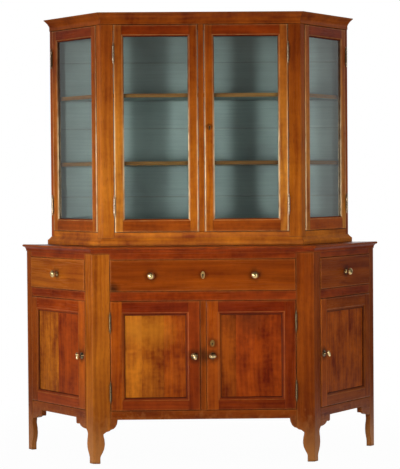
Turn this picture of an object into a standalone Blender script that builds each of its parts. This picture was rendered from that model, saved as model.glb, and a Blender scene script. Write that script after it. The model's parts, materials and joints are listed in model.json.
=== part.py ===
"""A glazed credenza with canted corners, in metres, +Z up, standing on the floor.

The base has a middle drawer and two wedge-shaped corner drawers over four panelled doors, on scalloped
bracket feet. The hutch on top of it has four glazed doors and two shelves. Both share one wall plane.
The front looks along -Y and the wall plane is at the largest Y.
"""

import math

import bmesh
import bpy
from mathutils import Matrix, Vector
from mathutils.geometry import interpolate_bezier

# Plan: the front, the canted sides and the wall plane
BASE_FRONT_WIDTH = 1.010
BASE_DEPTH = 0.500
HUTCH_FRONT_WIDTH = 0.918
HUTCH_DEPTH = 0.387
CANT_ANGLE = math.radians(56.7)

# Fits: between glued pieces, round an opening part, beside a hinge, and under a running part
FIT = 0.0003
LEAF_GAP = 0.0015
HINGE_GAP = 0.0020
RUNNING = 0.0010

# Heights of the base, from the floor up
APRON_CLEARANCE = 0.200
APRON_HEIGHT = 0.040
LOWER_DOOR_OPENING = 0.501
DRAWER_RAIL_HEIGHT = 0.042
DRAWER_OPENING = 0.146
TOP_RAIL_HEIGHT = 0.026
TOP_MOULDING_HEIGHT = 0.020
TOP_BOARD_THICKNESS = 0.011

# Heights of the hutch, from the base's top up
PLINTH_HEIGHT = 0.037
FLOOR_RAIL_HEIGHT = 0.026
HUTCH_DOOR_OPENING = 0.954
FRIEZE_HEIGHT = 0.018
COVE_HEIGHT = 0.032
CORNICE_FILLET_HEIGHT = 0.004
SHELF_TOPS = (0.327, 0.639)
BACK_JOINTS = (0.160, 0.485, 0.800)

# Posts, boards and rails
POST_THICKNESS = 0.024
POST_FRONT_ARM = 0.081
POST_SIDE_ARM = 0.060
REAR_POST_ARM = 0.043
HUTCH_POST_THICKNESS = 0.022
HUTCH_POST_FRONT_ARM = 0.057
HUTCH_POST_SIDE_ARM = 0.038
HUTCH_REAR_ARM = 0.025
CENTRE_POST_WIDTH = 0.027
CENTRE_POST_THICKNESS = 0.020
BOARD_THICKNESS = 0.020
BACK_THICKNESS = 0.010
BACK_RECESS = 0.002
RAIL_LAP = 0.006
SHELF_THICKNESS = 0.018
SHELF_HOUSING = 0.005
BACK_JOINT_WIDTH = 0.003
BACK_JOINT_DEPTH = 0.002

# Bracket feet: how far each arm reaches from its corner, and at what height
PAD_ARM = 0.032
PAD_HEIGHT = 0.027
BELLY_ARM = 0.053
BELLY_HEIGHT = 0.086
NECK_ARM = 0.0465
NECK_HEIGHT = 0.134
ANKLE_EASE = 0.4
NECK_EASE = 0.6
REAR_PAD_ARM = 0.034
REAR_BELLY_ARM = 0.049
REAR_NECK_ARM = 0.040
BRACKET_HEIGHT = 0.149
BRACKET_RISE = 0.006
THROAT_DROP = 0.004
FRONT_BRACKET_REACH = 0.031
SIDE_BRACKET_REACH = 0.059
SIDE_BRACKET_TOP = 0.177
SIDE_BRACKET_SWEEP = math.radians(75)
NUB_RADIUS = 0.015
NUB_DROP = 0.006

# Mouldings, by how far they stand out from the posts
TOP_OVERHANG = 0.0175
TOP_COVE_OVERHANG = 0.0105
TOP_BED_OVERHANG = 0.003
TOP_COVE_SAG = 0.003
TOP_NOSE_RADIUS = 0.005
PLINTH_OVERHANG = 0.016
PLINTH_FACE_HEIGHT = 0.020
PLINTH_SHOULDER = 0.001
PLINTH_SAG = 0.0015
FRIEZE_OVERHANG = 0.002
CORNICE_OVERHANG = 0.0245
CORNICE_LIP = 0.001
CORNICE_SAG = 0.003
TOP_FRAME_WIDTH = 0.040

# Doors and drawer fronts
PROUD = 0.0035
DOOR_THICKNESS = 0.020
DOOR_EDGE_RADIUS = 0.004
LOWER_STILE = 0.066
LOWER_TOP_RAIL = 0.065
LOWER_BOTTOM_RAIL = 0.059
LOWER_MOULDING = 0.013
UPPER_STILE = 0.046
UPPER_TOP_RAIL = 0.055
UPPER_BOTTOM_RAIL = 0.060
UPPER_MOULDING = 0.008
MOULDING_QUIRK = 0.0015
MOULDING_DEPTH = 0.007
LIP_THICKNESS = 0.001
GROOVE_DEPTH = 0.008
PANEL_THICKNESS = 0.008
GLASS_THICKNESS = 0.003
DRAWER_SIDE = 0.011
DRAWER_BOTTOM = 0.008
DRAWER_BOX_HEIGHT = 0.120
DRAWER_BOX_SETBACK = 0.012
DRAWER_BACK_CLEARANCE = 0.016
GUIDE_WIDTH = 0.014
GUIDE_HEIGHT = 0.025
DECK_STEP = 0.003

# Brass
KNOB_LENGTH = 0.033
KNOB_RADIUS = 0.0165
KNOB_BROW_RADIUS = 0.0142
KNOB_SEAT_RADIUS = 0.0095
KNOB_SEAT_THICKNESS = 0.0026
KNOB_NECK_RADIUS = 0.0055
KNOB_NECK_START = 0.006
KNOB_NECK_END = 0.011
KNOB_HEAD_START = 0.016
KNOB_WIDEST_AT = 0.020
KNOB_TIP_RADIUS = 0.0017
KNOB_SPACING = 0.472
HINGE_RADIUS = 0.0045
HINGE_SHOULDER_RADIUS = 0.0034
HINGE_LENGTH = 0.100
HINGE_TIP = 0.016
HINGE_TIP_RADIUS = 0.0015
HINGE_LEAF_THICKNESS = 0.0012
HINGE_LEAF_HEIGHT = 0.066
HINGE_LEAF_REACH = 0.016
HINGE_STANDOFF = 0.0005
UPPER_HINGE_FROM_BOTTOM = 0.122
UPPER_HINGE_FROM_TOP = 0.130
LOWER_HINGE_FROM_BOTTOM = 0.085
LOWER_HINGE_FROM_TOP = 0.097
PIVOT_RADIUS = 0.003
PIVOT_LENGTH = 0.009
PIVOT_INSET = 0.009
PIVOT_SETBACK = 0.007
TURN_HEIGHT = 0.247
TURN_INSET = 0.026
ROSETTE_RADIUS = 0.0145
ROSETTE_THICKNESS = 0.003
ROSETTE_STEP_RADIUS = 0.009
COLLAR_RADIUS = 0.0046
COLLAR_DISTANCE = 0.0054
SPINDLE_RADIUS = 0.0035
GRIP_HALF_LENGTH = 0.0165
GRIP_HALF_WIDTH = 0.0075
GRIP_DISTANCE = 0.024
TONGUE_THICKNESS = 0.003
TONGUE_WIDTH = 0.012
TONGUE_TAIL = 0.008
TONGUE_CATCH = 0.009
TONGUE_CLEARANCE = 0.002
GRIP_TILT = {"left_front": 40, "right_front": 90, "left_side": 0, "right_side": -30}

# How finely curves are drawn, and how large a guide shows
ARC_STEPS = 4
NUB_STEPS = 6
ROUND_SIDES = 16
GRIP_SIDES = 12
HINGE_SIDES = 10
SMOOTH_ANGLE = math.radians(35)
EMPTY_SIZE = 0.1

# Worked out from the above
COS, SIN = math.cos(CANT_ANGLE), math.sin(CANT_ANGLE)
REACH = PROUD + FIT + KNOB_LENGTH
FACE_Y = (REACH - BASE_DEPTH) / 2
BACK_Y = FACE_Y + BASE_DEPTH
HUTCH_FACE_Y = BACK_Y - HUTCH_DEPTH

APRON_TOP = APRON_CLEARANCE + APRON_HEIGHT
RAIL_BOTTOM = APRON_TOP + LOWER_DOOR_OPENING
RAIL_TOP = RAIL_BOTTOM + DRAWER_RAIL_HEIGHT
DECK_TOP = RAIL_TOP + DECK_STEP
TOP_RAIL_BOTTOM = RAIL_TOP + DRAWER_OPENING
POST_TOP = TOP_RAIL_BOTTOM + TOP_RAIL_HEIGHT
BED_BOTTOM = POST_TOP + FIT
BOARD_BOTTOM = BED_BOTTOM + TOP_MOULDING_HEIGHT
BASE_TOP = BOARD_BOTTOM + TOP_BOARD_THICKNESS

PLINTH_BOTTOM = BASE_TOP + FIT
PLINTH_TOP = PLINTH_BOTTOM + PLINTH_HEIGHT
FLOOR_RAIL_TOP = PLINTH_TOP + FLOOR_RAIL_HEIGHT
CORNICE_BOTTOM = FLOOR_RAIL_TOP + HUTCH_DOOR_OPENING
FRIEZE_TOP = CORNICE_BOTTOM + FRIEZE_HEIGHT
COVE_TOP = FRIEZE_TOP + COVE_HEIGHT
CORNICE_TOP = COVE_TOP + CORNICE_FILLET_HEIGHT
HUTCH_FLOOR = FLOOR_RAIL_TOP - RUNNING

LEAF_FRONT = -PROUD
LEAF_BACK = LEAF_FRONT + DOOR_THICKNESS
BACK_FACE_Y = BACK_Y - BACK_RECESS - BACK_THICKNESS
SIDES = {"left": -1, "right": 1}


class Plan:
    """A carcass seen from above: the front, two canted sides and the wall plane."""

    def __init__(self, front_width, front_y):
        self.half = front_width / 2
        self.front_y = front_y
        self.side_length = (BACK_Y - front_y) / SIN

    def half_width(self, y, inset):
        return self.half + ((y - self.front_y) * COS - inset) / SIN

    def outline(self, inset, back_y=BACK_Y):
        """The four corners, drawn in from the front and the canted sides by an inset."""
        front_y = self.front_y + inset
        front = self.half_width(front_y, inset)
        back = self.half_width(back_y, inset)
        return [(-front, front_y), (front, front_y), (back, back_y), (-back, back_y)]

    def side_point(self, side, along, depth):
        """A point measured back from the front corner along a canted side, and in from its face."""
        x = self.half + along * COS - depth * SIN
        return (side * x, self.front_y + along * SIN + depth * COS)

    def side_board(self, side, near, far, depth):
        """The plan of a board that lies in a canted face."""
        corners = ((near, 0), (far, 0), (far, depth), (near, depth))
        return [self.side_point(side, along, inward) for along, inward in corners]

    def front_board(self, half_length, depth):
        front, back = self.front_y, self.front_y + depth
        return [(-half_length, front), (half_length, front), (half_length, back), (-half_length, back)]

    def back_board(self, inset):
        """The plan of the back, which is let in from the wall plane."""
        inner = self.outline(inset, BACK_FACE_Y)
        outer = self.outline(inset, BACK_Y - BACK_RECESS)
        return [inner[3], inner[2], outer[2], outer[3]]


BASE = Plan(BASE_FRONT_WIDTH, FACE_Y)
HUTCH = Plan(HUTCH_FRONT_WIDTH, HUTCH_FACE_Y)
FRONT_BAY = BASE.half - POST_FRONT_ARM
SIDE_BAY = (POST_SIDE_ARM, BASE.side_length - REAR_POST_ARM)
HUTCH_FRONT_BAY = HUTCH.half - HUTCH_POST_FRONT_ARM
HUTCH_SIDE_BAY = (HUTCH_POST_SIDE_ARM, HUTCH.side_length - HUTCH_REAR_ARM)


def finish(name, colour, roughness, metallic=0.0, transmission=0.0):
    material = bpy.data.materials.new(name)
    material.use_nodes = True
    shader = material.node_tree.nodes["Principled BSDF"]
    shader.inputs["Base Color"].default_value = (*colour, 1)
    shader.inputs["Roughness"].default_value = roughness
    shader.inputs["Metallic"].default_value = metallic
    shader.inputs["Transmission Weight"].default_value = transmission
    material.diffuse_color = (*colour, 1)
    return material


def ring_at(outline, z):
    return [(x, y, z) for x, y in outline]


def loft(rings, endless=False):
    """A closed mesh through rings of equal length, capped at both ends or joined end to end."""
    mesh = bmesh.new()
    loops = [[mesh.verts.new(point) for point in ring] for ring in rings]
    following = loops[1:] + loops[:1] if endless else loops[1:]
    for low, high in zip(loops, following):
        for i, corner in enumerate(low):
            j = (i + 1) % len(low)
            mesh.faces.new((corner, low[j], high[j], high[i]))
    if not endless:
        mesh.faces.new(loops[0][::-1])
        mesh.faces.new(loops[-1])
    bmesh.ops.recalc_face_normals(mesh, faces=mesh.faces)
    return mesh


def prism(outline, bottom, top):
    return loft([ring_at(outline, bottom), ring_at(outline, top)])


def extruded(outline, front, back):
    """A board whose outline is drawn in a face's own x and z."""
    return loft([[(x, y, z) for x, z in outline] for y in (front, back)])


def turned(profile, sides, axis="Y"):
    """A round piece from (radius, distance) pairs, along -Y towards the viewer or along Z."""
    rings = []
    for radius, distance in profile:
        ring = []
        for i in range(sides):
            angle = 2 * math.pi * (i + 0.5) / sides
            across, up = radius * math.cos(angle), radius * math.sin(angle)
            ring.append((across, -distance, up) if axis == "Y" else (across, up, distance))
        rings.append(ring)
    return loft(rings)


def clip(outline, point, inward):
    """The part of a convex outline on the inward side of a line through a point."""
    outline = [Vector(corner) for corner in outline]
    point, inward = Vector(point), Vector(inward)
    kept = []
    for here, there in zip(outline, outline[1:] + outline[:1]):
        near, far = (here - point).dot(inward), (there - point).dot(inward)
        if near >= 0:
            kept.append(here)
        if near * far < 0:
            kept.append(here.lerp(there, near / (near - far)))
    return [tuple(corner) for corner in kept]


def add(name, mesh, material, parent=None, origin=(0, 0, 0), smooth=False):
    """An object whose mesh was drawn in its parent's frame, with its own origin at a chosen point."""
    bmesh.ops.translate(mesh, verts=mesh.verts, vec=-Vector(origin))
    data = bpy.data.meshes.new(name)
    mesh.to_mesh(data)
    mesh.free()
    data.materials.append(material)
    return add_copy(name, data, parent, origin, smooth)


def add_copy(name, data, parent, origin, smooth=False):
    if smooth:
        data.shade_smooth()
        data.set_sharp_from_angle(angle=SMOOTH_ANGLE)
    obj = bpy.data.objects.new(name, data)
    obj.parent = parent
    obj.location = origin
    bpy.context.scene.collection.objects.link(obj)
    return obj


def combine(obj, mesh, operation):
    """Joins a shape to an object, or cuts it out. The shape is drawn in the object's parent's frame."""
    name = f"{obj.name}_{operation.lower()}_{len(obj.modifiers)}"
    helper = add(name, mesh, obj.data.materials[0], obj.parent, obj.location)
    helper.hide_render = True
    helper.display_type = "WIRE"
    boolean = obj.modifiers.new(operation.title(), "BOOLEAN")
    boolean.operation = operation
    boolean.solver = "EXACT"
    boolean.object = helper


def settled(obj):
    """The object's mesh with its modifiers worked in, for copies to share. The object itself goes."""
    graph = bpy.context.evaluated_depsgraph_get()
    data = bpy.data.meshes.new_from_object(obj.evaluated_get(graph))
    helpers = [modifier.object for modifier in obj.modifiers]
    for used in [obj, *helpers]:
        bpy.data.objects.remove(used)
    return data


def add_empty(name, parent=None, location=(0, 0, 0), turn=0.0):
    empty = bpy.data.objects.new(name, None)
    empty.parent = parent
    empty.location = location
    empty.rotation_euler.z = turn
    empty.empty_display_size = EMPTY_SIZE
    bpy.context.scene.collection.objects.link(empty)
    return empty


def add_faces(prefix, plan, parent):
    """An empty on each face: x runs along the face to the viewer's right, y runs into the carcass."""
    faces = {"front": add_empty(f"{prefix}_front_face", parent, (0, plan.front_y, 0))}
    for name, side in SIDES.items():
        corner = (side * plan.half, plan.front_y, 0)
        faces[name] = add_empty(f"{prefix}_{name}_face", parent, corner, side * CANT_ANGLE)
    return faces


def span(side, near, far):
    """The left and right ends, in a canted face's own x, of a stretch measured from its front corner."""
    return (near, far) if side > 0 else (-far, -near)


def foot_outline(pad, belly, neck):
    """(arm, height) pairs up a bracket foot: a straight pad, a swelling and a drawn-in neck."""
    ankle = Vector((pad, PAD_HEIGHT))
    widest = Vector((belly, BELLY_HEIGHT))
    top = Vector((neck, NECK_HEIGHT))
    rise = Vector((0, (BELLY_HEIGHT - PAD_HEIGHT) / 2))
    lower = interpolate_bezier(ankle, ankle + rise * ANKLE_EASE, widest - rise, widest, ARC_STEPS + 1)
    upper = interpolate_bezier(widest, widest + rise, top - rise * NECK_EASE, top, ARC_STEPS)
    return [(pad, 0.0)] + [(point.x, point.y) for point in [*lower, *upper[1:]]]


def corner_ring(plan, side, thickness, front_arm, side_arm, z):
    """The section of a corner post: two arms of even thickness that meet at the cant's angle."""
    corner_shift = thickness * math.tan(CANT_ANGLE / 2)
    outline = [
        plan.side_point(side, 0, 0),
        plan.side_point(side, side_arm, 0),
        plan.side_point(side, side_arm, thickness),
        (side * (plan.half - corner_shift), plan.front_y + thickness),
        (side * (plan.half - front_arm), plan.front_y + thickness),
        (side * (plan.half - front_arm), plan.front_y),
    ]
    return ring_at(outline, z)


def rear_section(plan, side, thickness, arm):
    """The section of a rear post: an arm in the canted face, cut off at the wall plane."""
    length = plan.side_length
    outline = plan.side_board(side, length - arm, length, thickness)
    outline[2] = (side * (plan.half_width(BACK_Y, thickness)), BACK_Y)
    return outline


def add_base_posts(base, wood):
    foot = foot_outline(PAD_ARM, BELLY_ARM, NECK_ARM)
    rear_foot = foot_outline(REAR_PAD_ARM, REAR_BELLY_ARM, REAR_NECK_ARM)
    for name, side in SIDES.items():
        arms = [(arm, arm, z) for arm, z in foot]
        front, back = POST_FRONT_ARM - BRACKET_RISE, POST_SIDE_ARM - BRACKET_RISE
        arms += [((front + NECK_ARM) / 2, (back + NECK_ARM) / 2, BRACKET_HEIGHT - THROAT_DROP)]
        arms += [(front, back, BRACKET_HEIGHT)]
        arms += [(POST_FRONT_ARM, POST_SIDE_ARM, z) for z in (BRACKET_HEIGHT + BRACKET_RISE, POST_TOP)]
        rings = [corner_ring(BASE, side, POST_THICKNESS, *arm) for arm in arms]
        add(f"post_front_{name}", loft(rings), wood, base)
        levels = rear_foot + [(REAR_POST_ARM, BRACKET_HEIGHT), (REAR_POST_ARM, POST_TOP)]
        rings = [ring_at(rear_section(BASE, side, POST_THICKNESS, arm), z) for arm, z in levels]
        add(f"post_rear_{name}", loft(rings), wood, base)


def ovolo(start, end, last=math.pi / 2):
    """A quarter round that leaves its start level and bulges down towards its end."""
    points = []
    for i in range(ARC_STEPS + 1):
        angle = last * i / ARC_STEPS
        x = start[0] + (end[0] - start[0]) * math.sin(angle)
        z = end[1] - (end[1] - start[1]) * math.cos(angle)
        points.append((x, z))
    return points


def side_bracket(post_edge, inwards):
    """The underside of a side apron from a post to the straight: a quarter round, then a small nub."""
    low = (post_edge, BRACKET_HEIGHT + BRACKET_RISE)
    high = (post_edge + inwards * SIDE_BRACKET_REACH, SIDE_BRACKET_TOP)
    points = ovolo(low, high, SIDE_BRACKET_SWEEP)
    nub_x = high[0] + inwards * NUB_RADIUS
    for i in range(1, NUB_STEPS):
        angle = math.pi * i / NUB_STEPS
        x = nub_x - inwards * NUB_RADIUS * math.cos(angle)
        points.append((x, SIDE_BRACKET_TOP - NUB_DROP * math.sin(angle)))
    points.append((nub_x + inwards * NUB_RADIUS, APRON_CLEARANCE))
    return points


def add_aprons(faces, wood):
    edge = FRONT_BAY - FIT
    low = (edge, BRACKET_HEIGHT + BRACKET_RISE)
    right = ovolo(low, (edge - FRONT_BRACKET_REACH, APRON_CLEARANCE))
    left = [(-x, z) for x, z in reversed(right)]
    outline = [(-edge, APRON_TOP), (edge, APRON_TOP), *right, *left]
    add("apron_front", extruded(outline, 0, POST_THICKNESS), wood, faces["front"])
    for name, side in SIDES.items():
        start, end = span(side, SIDE_BAY[0] + FIT, SIDE_BAY[1] - FIT)
        underside = side_bracket(start, 1) + side_bracket(end, -1)[::-1]
        outline = [(start, APRON_TOP), *underside, (end, APRON_TOP)]
        apron = add(f"apron_{name}", extruded(outline, 0, POST_THICKNESS), wood, faces[name])
        combine(apron, pivot_hole(side, APRON_TOP), "DIFFERENCE")


def pivot_place(side):
    """Where a side door of the base turns, in its face's own x and y."""
    along = SIDE_BAY[1] - HINGE_GAP - PIVOT_INSET
    return (side * along, LEAF_FRONT + PIVOT_SETBACK)


def upright(x, y, radius, bottom, top):
    pin = turned([(radius, bottom), (radius, top)], HINGE_SIDES, "Z")
    bmesh.ops.translate(pin, verts=pin.verts, vec=(x, y, 0))
    return pin


def pivot_hole(side, z):
    reach = PIVOT_LENGTH + FIT
    return upright(*pivot_place(side), PIVOT_RADIUS + FIT, z - reach, z + reach)


def rails_between_posts(plan, front_bay, side_bay, depth):
    """The plans of the three rails at one level, kept clear of the posts and the back."""
    rails = [plan.front_board(front_bay - FIT, depth)]
    for side in SIDES.values():
        rail = plan.side_board(side, side_bay[0] + FIT, side_bay[1] - FIT, depth)
        rails.append(clip(rail, (0, BACK_FACE_Y - FIT), (0, -1)))
    return rails


def add_base_boards(base, faces, wood, plain):
    """The bottom, the deck with its rails and guides, the back and the post between the doors."""
    inside = BASE.outline(POST_THICKNESS + FIT, BACK_FACE_Y - FIT)
    add("base_bottom", prism(inside, APRON_TOP - BOARD_THICKNESS, APRON_TOP - RUNNING), plain, base)

    deck = add("drawer_deck", prism(inside, DECK_TOP - BOARD_THICKNESS, DECK_TOP), wood, base)
    lap = POST_THICKNESS + RAIL_LAP
    for rail in rails_between_posts(BASE, FRONT_BAY, SIDE_BAY, lap):
        combine(deck, prism(rail, RAIL_BOTTOM, RAIL_TOP), "UNION")
    for side in SIDES.values():
        near, far = side * guide_face(), side * (guide_face() + GUIDE_WIDTH)
        front, back = FACE_Y + lap + RAIL_LAP, BACK_FACE_Y - RAIL_LAP
        guide = [(near, front), (far, front), (far, back), (near, back)]
        combine(deck, prism(guide, DECK_TOP - RAIL_LAP, DECK_TOP + GUIDE_HEIGHT), "UNION")
    for name, side in SIDES.items():
        hole = pivot_hole(side, RAIL_BOTTOM)
        hole.transform(faces[name].matrix_local)
        combine(deck, hole, "DIFFERENCE")

    back = BASE.back_board(POST_THICKNESS + FIT)
    add("base_back", prism(back, APRON_CLEARANCE, POST_TOP), plain, base)
    add_centre_post("base_centre_post", faces["front"], APRON_TOP, RAIL_BOTTOM, wood)


def guide_face():
    """How far the drawer guides stand from the middle."""
    return FRONT_BAY - DRAWER_BOX_SETBACK + RUNNING


def add_centre_post(name, face, bottom, top, wood):
    half = CENTRE_POST_WIDTH / 2
    outline = [(-half, bottom + FIT), (half, bottom + FIT), (half, top - FIT), (-half, top - FIT)]
    add(name, extruded(outline, 0, CENTRE_POST_THICKNESS), wood, face)


def moulded(plan, profile):
    """A board whose moulded edge runs round the front and the canted sides, from (overhang, z) pairs."""
    return loft([ring_at(plan.outline(-overhang), z) for overhang, z in profile])


def hollow(start, end, sag):
    """A shallow cove from one (overhang, z) to another, drawn in by its sag halfway."""
    points = []
    for i in range(ARC_STEPS + 1):
        share = i / ARC_STEPS
        overhang = start[0] + (end[0] - start[0]) * share - 4 * sag * share * (1 - share)
        points.append((overhang, start[1] + (end[1] - start[1]) * share))
    return points


def nosing(overhang, bottom, top, radius):
    """A rounded board edge."""
    points = []
    for i in range(-ARC_STEPS, ARC_STEPS + 1):
        angle = math.pi / 2 * i / ARC_STEPS
        middle = (bottom + top) / 2
        z = middle + (top - bottom) / 2 * math.sin(angle)
        points.append((overhang - radius * (1 - math.cos(angle)), z))
    return points


def add_base_top(base, wood):
    bed = (TOP_BED_OVERHANG, BED_BOTTOM)
    profile = hollow(bed, (TOP_COVE_OVERHANG, BOARD_BOTTOM - FIT), TOP_COVE_SAG)
    profile += nosing(TOP_OVERHANG, BOARD_BOTTOM, BASE_TOP, TOP_NOSE_RADIUS)
    top = add("base_top", moulded(BASE, profile), wood, base)
    pocket = BASE.outline(TOP_FRAME_WIDTH, BACK_Y - TOP_FRAME_WIDTH)
    combine(top, prism(pocket, BED_BOTTOM - BOARD_THICKNESS, BOARD_BOTTOM), "DIFFERENCE")
    for rail in rails_between_posts(BASE, FRONT_BAY, SIDE_BAY, POST_THICKNESS):
        combine(top, prism(rail, TOP_RAIL_BOTTOM, BED_BOTTOM + RAIL_LAP), "UNION")


def add_hutch_posts(hutch, wood):
    for name, side in SIDES.items():
        levels = (PLINTH_TOP + FIT, CORNICE_BOTTOM - FIT)
        arms = (HUTCH_POST_FRONT_ARM, HUTCH_POST_SIDE_ARM)
        rings = [corner_ring(HUTCH, side, HUTCH_POST_THICKNESS, *arms, z) for z in levels]
        add(f"hutch_post_{name}", loft(rings), wood, hutch)


def add_plinth(hutch, wood):
    """The hutch's foot moulding with the rails under its doors and its floor."""
    edge = (PLINTH_OVERHANG, PLINTH_BOTTOM + PLINTH_FACE_HEIGHT)
    profile = [(PLINTH_OVERHANG, PLINTH_BOTTOM)]
    profile += hollow(edge, (PLINTH_SHOULDER, PLINTH_TOP), PLINTH_SAG)
    plinth = add("hutch_plinth", moulded(HUTCH, profile), wood, hutch)
    opening = HUTCH.outline(TOP_FRAME_WIDTH, BACK_Y - TOP_FRAME_WIDTH)
    through = prism(opening, PLINTH_BOTTOM - BOARD_THICKNESS, PLINTH_TOP + BOARD_THICKNESS)
    combine(plinth, through, "DIFFERENCE")
    lap = HUTCH_POST_THICKNESS + RAIL_LAP
    for rail in rails_between_posts(HUTCH, HUTCH_FRONT_BAY, HUTCH_SIDE_BAY, lap):
        combine(plinth, prism(rail, PLINTH_TOP - RAIL_LAP, FLOOR_RAIL_TOP), "UNION")
    floor = HUTCH.outline(HUTCH_POST_THICKNESS + FIT, BACK_FACE_Y - FIT)
    combine(plinth, prism(floor, HUTCH_FLOOR - BOARD_THICKNESS, HUTCH_FLOOR), "UNION")


def add_cornice(hutch, wood):
    profile = [(FRIEZE_OVERHANG, CORNICE_BOTTOM)]
    lip = (CORNICE_OVERHANG - CORNICE_LIP, COVE_TOP)
    profile += hollow((FRIEZE_OVERHANG, FRIEZE_TOP), lip, CORNICE_SAG)
    profile += [(CORNICE_OVERHANG, COVE_TOP + FIT), (CORNICE_OVERHANG, CORNICE_TOP)]
    cornice = add("hutch_cornice", moulded(HUTCH, profile), wood, hutch)
    opening = HUTCH.outline(TOP_FRAME_WIDTH, BACK_Y - TOP_FRAME_WIDTH)
    pocket = prism(opening, CORNICE_BOTTOM - BOARD_THICKNESS, CORNICE_TOP - BOARD_THICKNESS)
    combine(cornice, pocket, "DIFFERENCE")


def add_hutch_back(hutch, painted):
    """The back with the stiles at its sides, housed for the shelves and scored at its board joints."""
    bottom, top = PLINTH_TOP + FIT, CORNICE_BOTTOM - FIT
    tuck = HUTCH_POST_THICKNESS / 2
    panel = HUTCH.back_board(tuck)
    back = add("hutch_back", prism(panel, bottom + RUNNING, top - RUNNING), painted, hutch)
    for side in SIDES.values():
        stile = rear_section(HUTCH, side, HUTCH_POST_THICKNESS, HUTCH_REAR_ARM)
        combine(back, prism(stile, bottom, top), "UNION")
    half = HUTCH.half_width(BACK_FACE_Y, HUTCH_POST_THICKNESS + FIT)

    def groove(depth, low, high):
        front = BACK_FACE_Y - depth
        outline = [(-half, front), (half, front), (half, BACK_FACE_Y + depth), (-half, BACK_FACE_Y + depth)]
        combine(back, prism(outline, low, high), "DIFFERENCE")

    for height in SHELF_TOPS:
        shelf_top = HUTCH_FLOOR + height
        groove(SHELF_HOUSING + FIT, shelf_top - SHELF_THICKNESS - FIT, shelf_top + FIT)
    for height in BACK_JOINTS:
        groove(BACK_JOINT_DEPTH, HUTCH_FLOOR + height, HUTCH_FLOOR + height + BACK_JOINT_WIDTH)


def add_shelves(hutch, painted):
    for name, height in zip(("lower", "upper"), SHELF_TOPS):
        top = HUTCH_FLOOR + height
        outline = HUTCH.outline(HUTCH_POST_THICKNESS + FIT, BACK_FACE_Y - FIT)
        back_left, back_right = outline[3], outline[2]
        housed = BACK_FACE_Y + SHELF_HOUSING
        inner = HUTCH.half_width(BACK_FACE_Y, HUTCH_POST_THICKNESS + 2 * FIT)
        outline = [*outline[:2], back_right, (inner, BACK_FACE_Y - FIT), (inner, housed)]
        outline += [(-inner, housed), (-inner, BACK_FACE_Y - FIT), back_left]
        add(f"shelf_{name}", prism(outline, top - SHELF_THICKNESS, top), painted, hutch)


def rectangle(leaf, inset, y):
    left, right, bottom, top = leaf
    corners = ((left + inset, bottom + inset), (right - inset, bottom + inset))
    corners += ((right - inset, top - inset), (left + inset, top - inset))
    return [(x, y, z) for x, z in corners]


def rounded_edge(leaf):
    """Rings over the rounded front edge of a door or drawer front, from its side to its face."""
    rings = []
    for i in range(ARC_STEPS):
        angle = math.pi / 2 * i / (ARC_STEPS - 1)
        inset = DOOR_EDGE_RADIUS * (1 - math.cos(angle))
        rings.append(rectangle(leaf, inset, LEAF_FRONT + DOOR_EDGE_RADIUS * (1 - math.sin(angle))))
    return rings


def door_frame(leaf, sight, moulding, filling):
    """Stiles and rails as one ring: rounded outside, moulded inside, and grooved for the filling."""
    lip = LEAF_FRONT + MOULDING_DEPTH
    groove_front = lip + LIP_THICKNESS
    groove_back = groove_front + filling + 2 * FIT
    rings = [rectangle(leaf, 0, LEAF_BACK), *rounded_edge(leaf), rectangle(sight, -moulding, LEAF_FRONT)]
    for i in range(ARC_STEPS):
        angle = math.pi / 2 * i / (ARC_STEPS - 1)
        fall = MOULDING_DEPTH - MOULDING_QUIRK
        rings.append(rectangle(sight, -moulding * (1 - math.sin(angle)), lip - fall * math.cos(angle)))
    rings += [rectangle(sight, 0, groove_front), rectangle(sight, -GROOVE_DEPTH, groove_front)]
    rings += [rectangle(sight, -GROOVE_DEPTH, groove_back), rectangle(sight, 0, groove_back)]
    rings += [rectangle(sight, 0, LEAF_BACK)]
    pane = [rectangle(sight, FIT - GROOVE_DEPTH, y) for y in (groove_front + FIT, groove_back - FIT)]
    return loft(rings, endless=True), loft(pane)


def opening_leaf(bay, bottom, top, hinged):
    """A door's edges in its opening, with the wider gap beside its hinges."""
    left = bay[0] + (HINGE_GAP if hinged == "left" else LEAF_GAP)
    right = bay[1] - (HINGE_GAP if hinged == "right" else LEAF_GAP)
    return (left, right, bottom + LEAF_GAP, top - LEAF_GAP)


def sight_of(leaf, stile, bottom_rail, top_rail):
    left, right, bottom, top = leaf
    return (left + stile, right - stile, bottom + bottom_rail, top - top_rail)


def hinge_axis(bay, hinged):
    """The middle of a barrel hinge, in front of the gap beside the post."""
    x = bay[0] + HINGE_GAP / 2 if hinged == "left" else bay[1] - HINGE_GAP / 2
    return (x, LEAF_FRONT - HINGE_STANDOFF - HINGE_RADIUS)


def add_hinges(name, barrel, face, axis, low, high):
    for place, z in (("bottom", low), ("top", high)):
        add_copy(f"hinge_{name}_{place}", barrel, face, (*axis, z))


def add_upper_door(name, face, bay, hinged, wood, glass, barrel):
    leaf = opening_leaf(bay, FLOOR_RAIL_TOP, CORNICE_BOTTOM, hinged)
    sight = sight_of(leaf, UPPER_STILE, UPPER_BOTTOM_RAIL, UPPER_TOP_RAIL)
    frame, pane = door_frame(leaf, sight, UPPER_MOULDING, GLASS_THICKNESS)
    axis = hinge_axis(bay, hinged)
    add(f"upper_door_frame_{name}", frame, wood, face, (*axis, leaf[2]))
    add(f"upper_door_glass_{name}", pane, glass, face, (*axis, leaf[2]))
    low, high = leaf[2] + UPPER_HINGE_FROM_BOTTOM, leaf[3] - UPPER_HINGE_FROM_TOP
    add_hinges(f"upper_{name}", barrel, face, axis, low, high)


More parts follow.
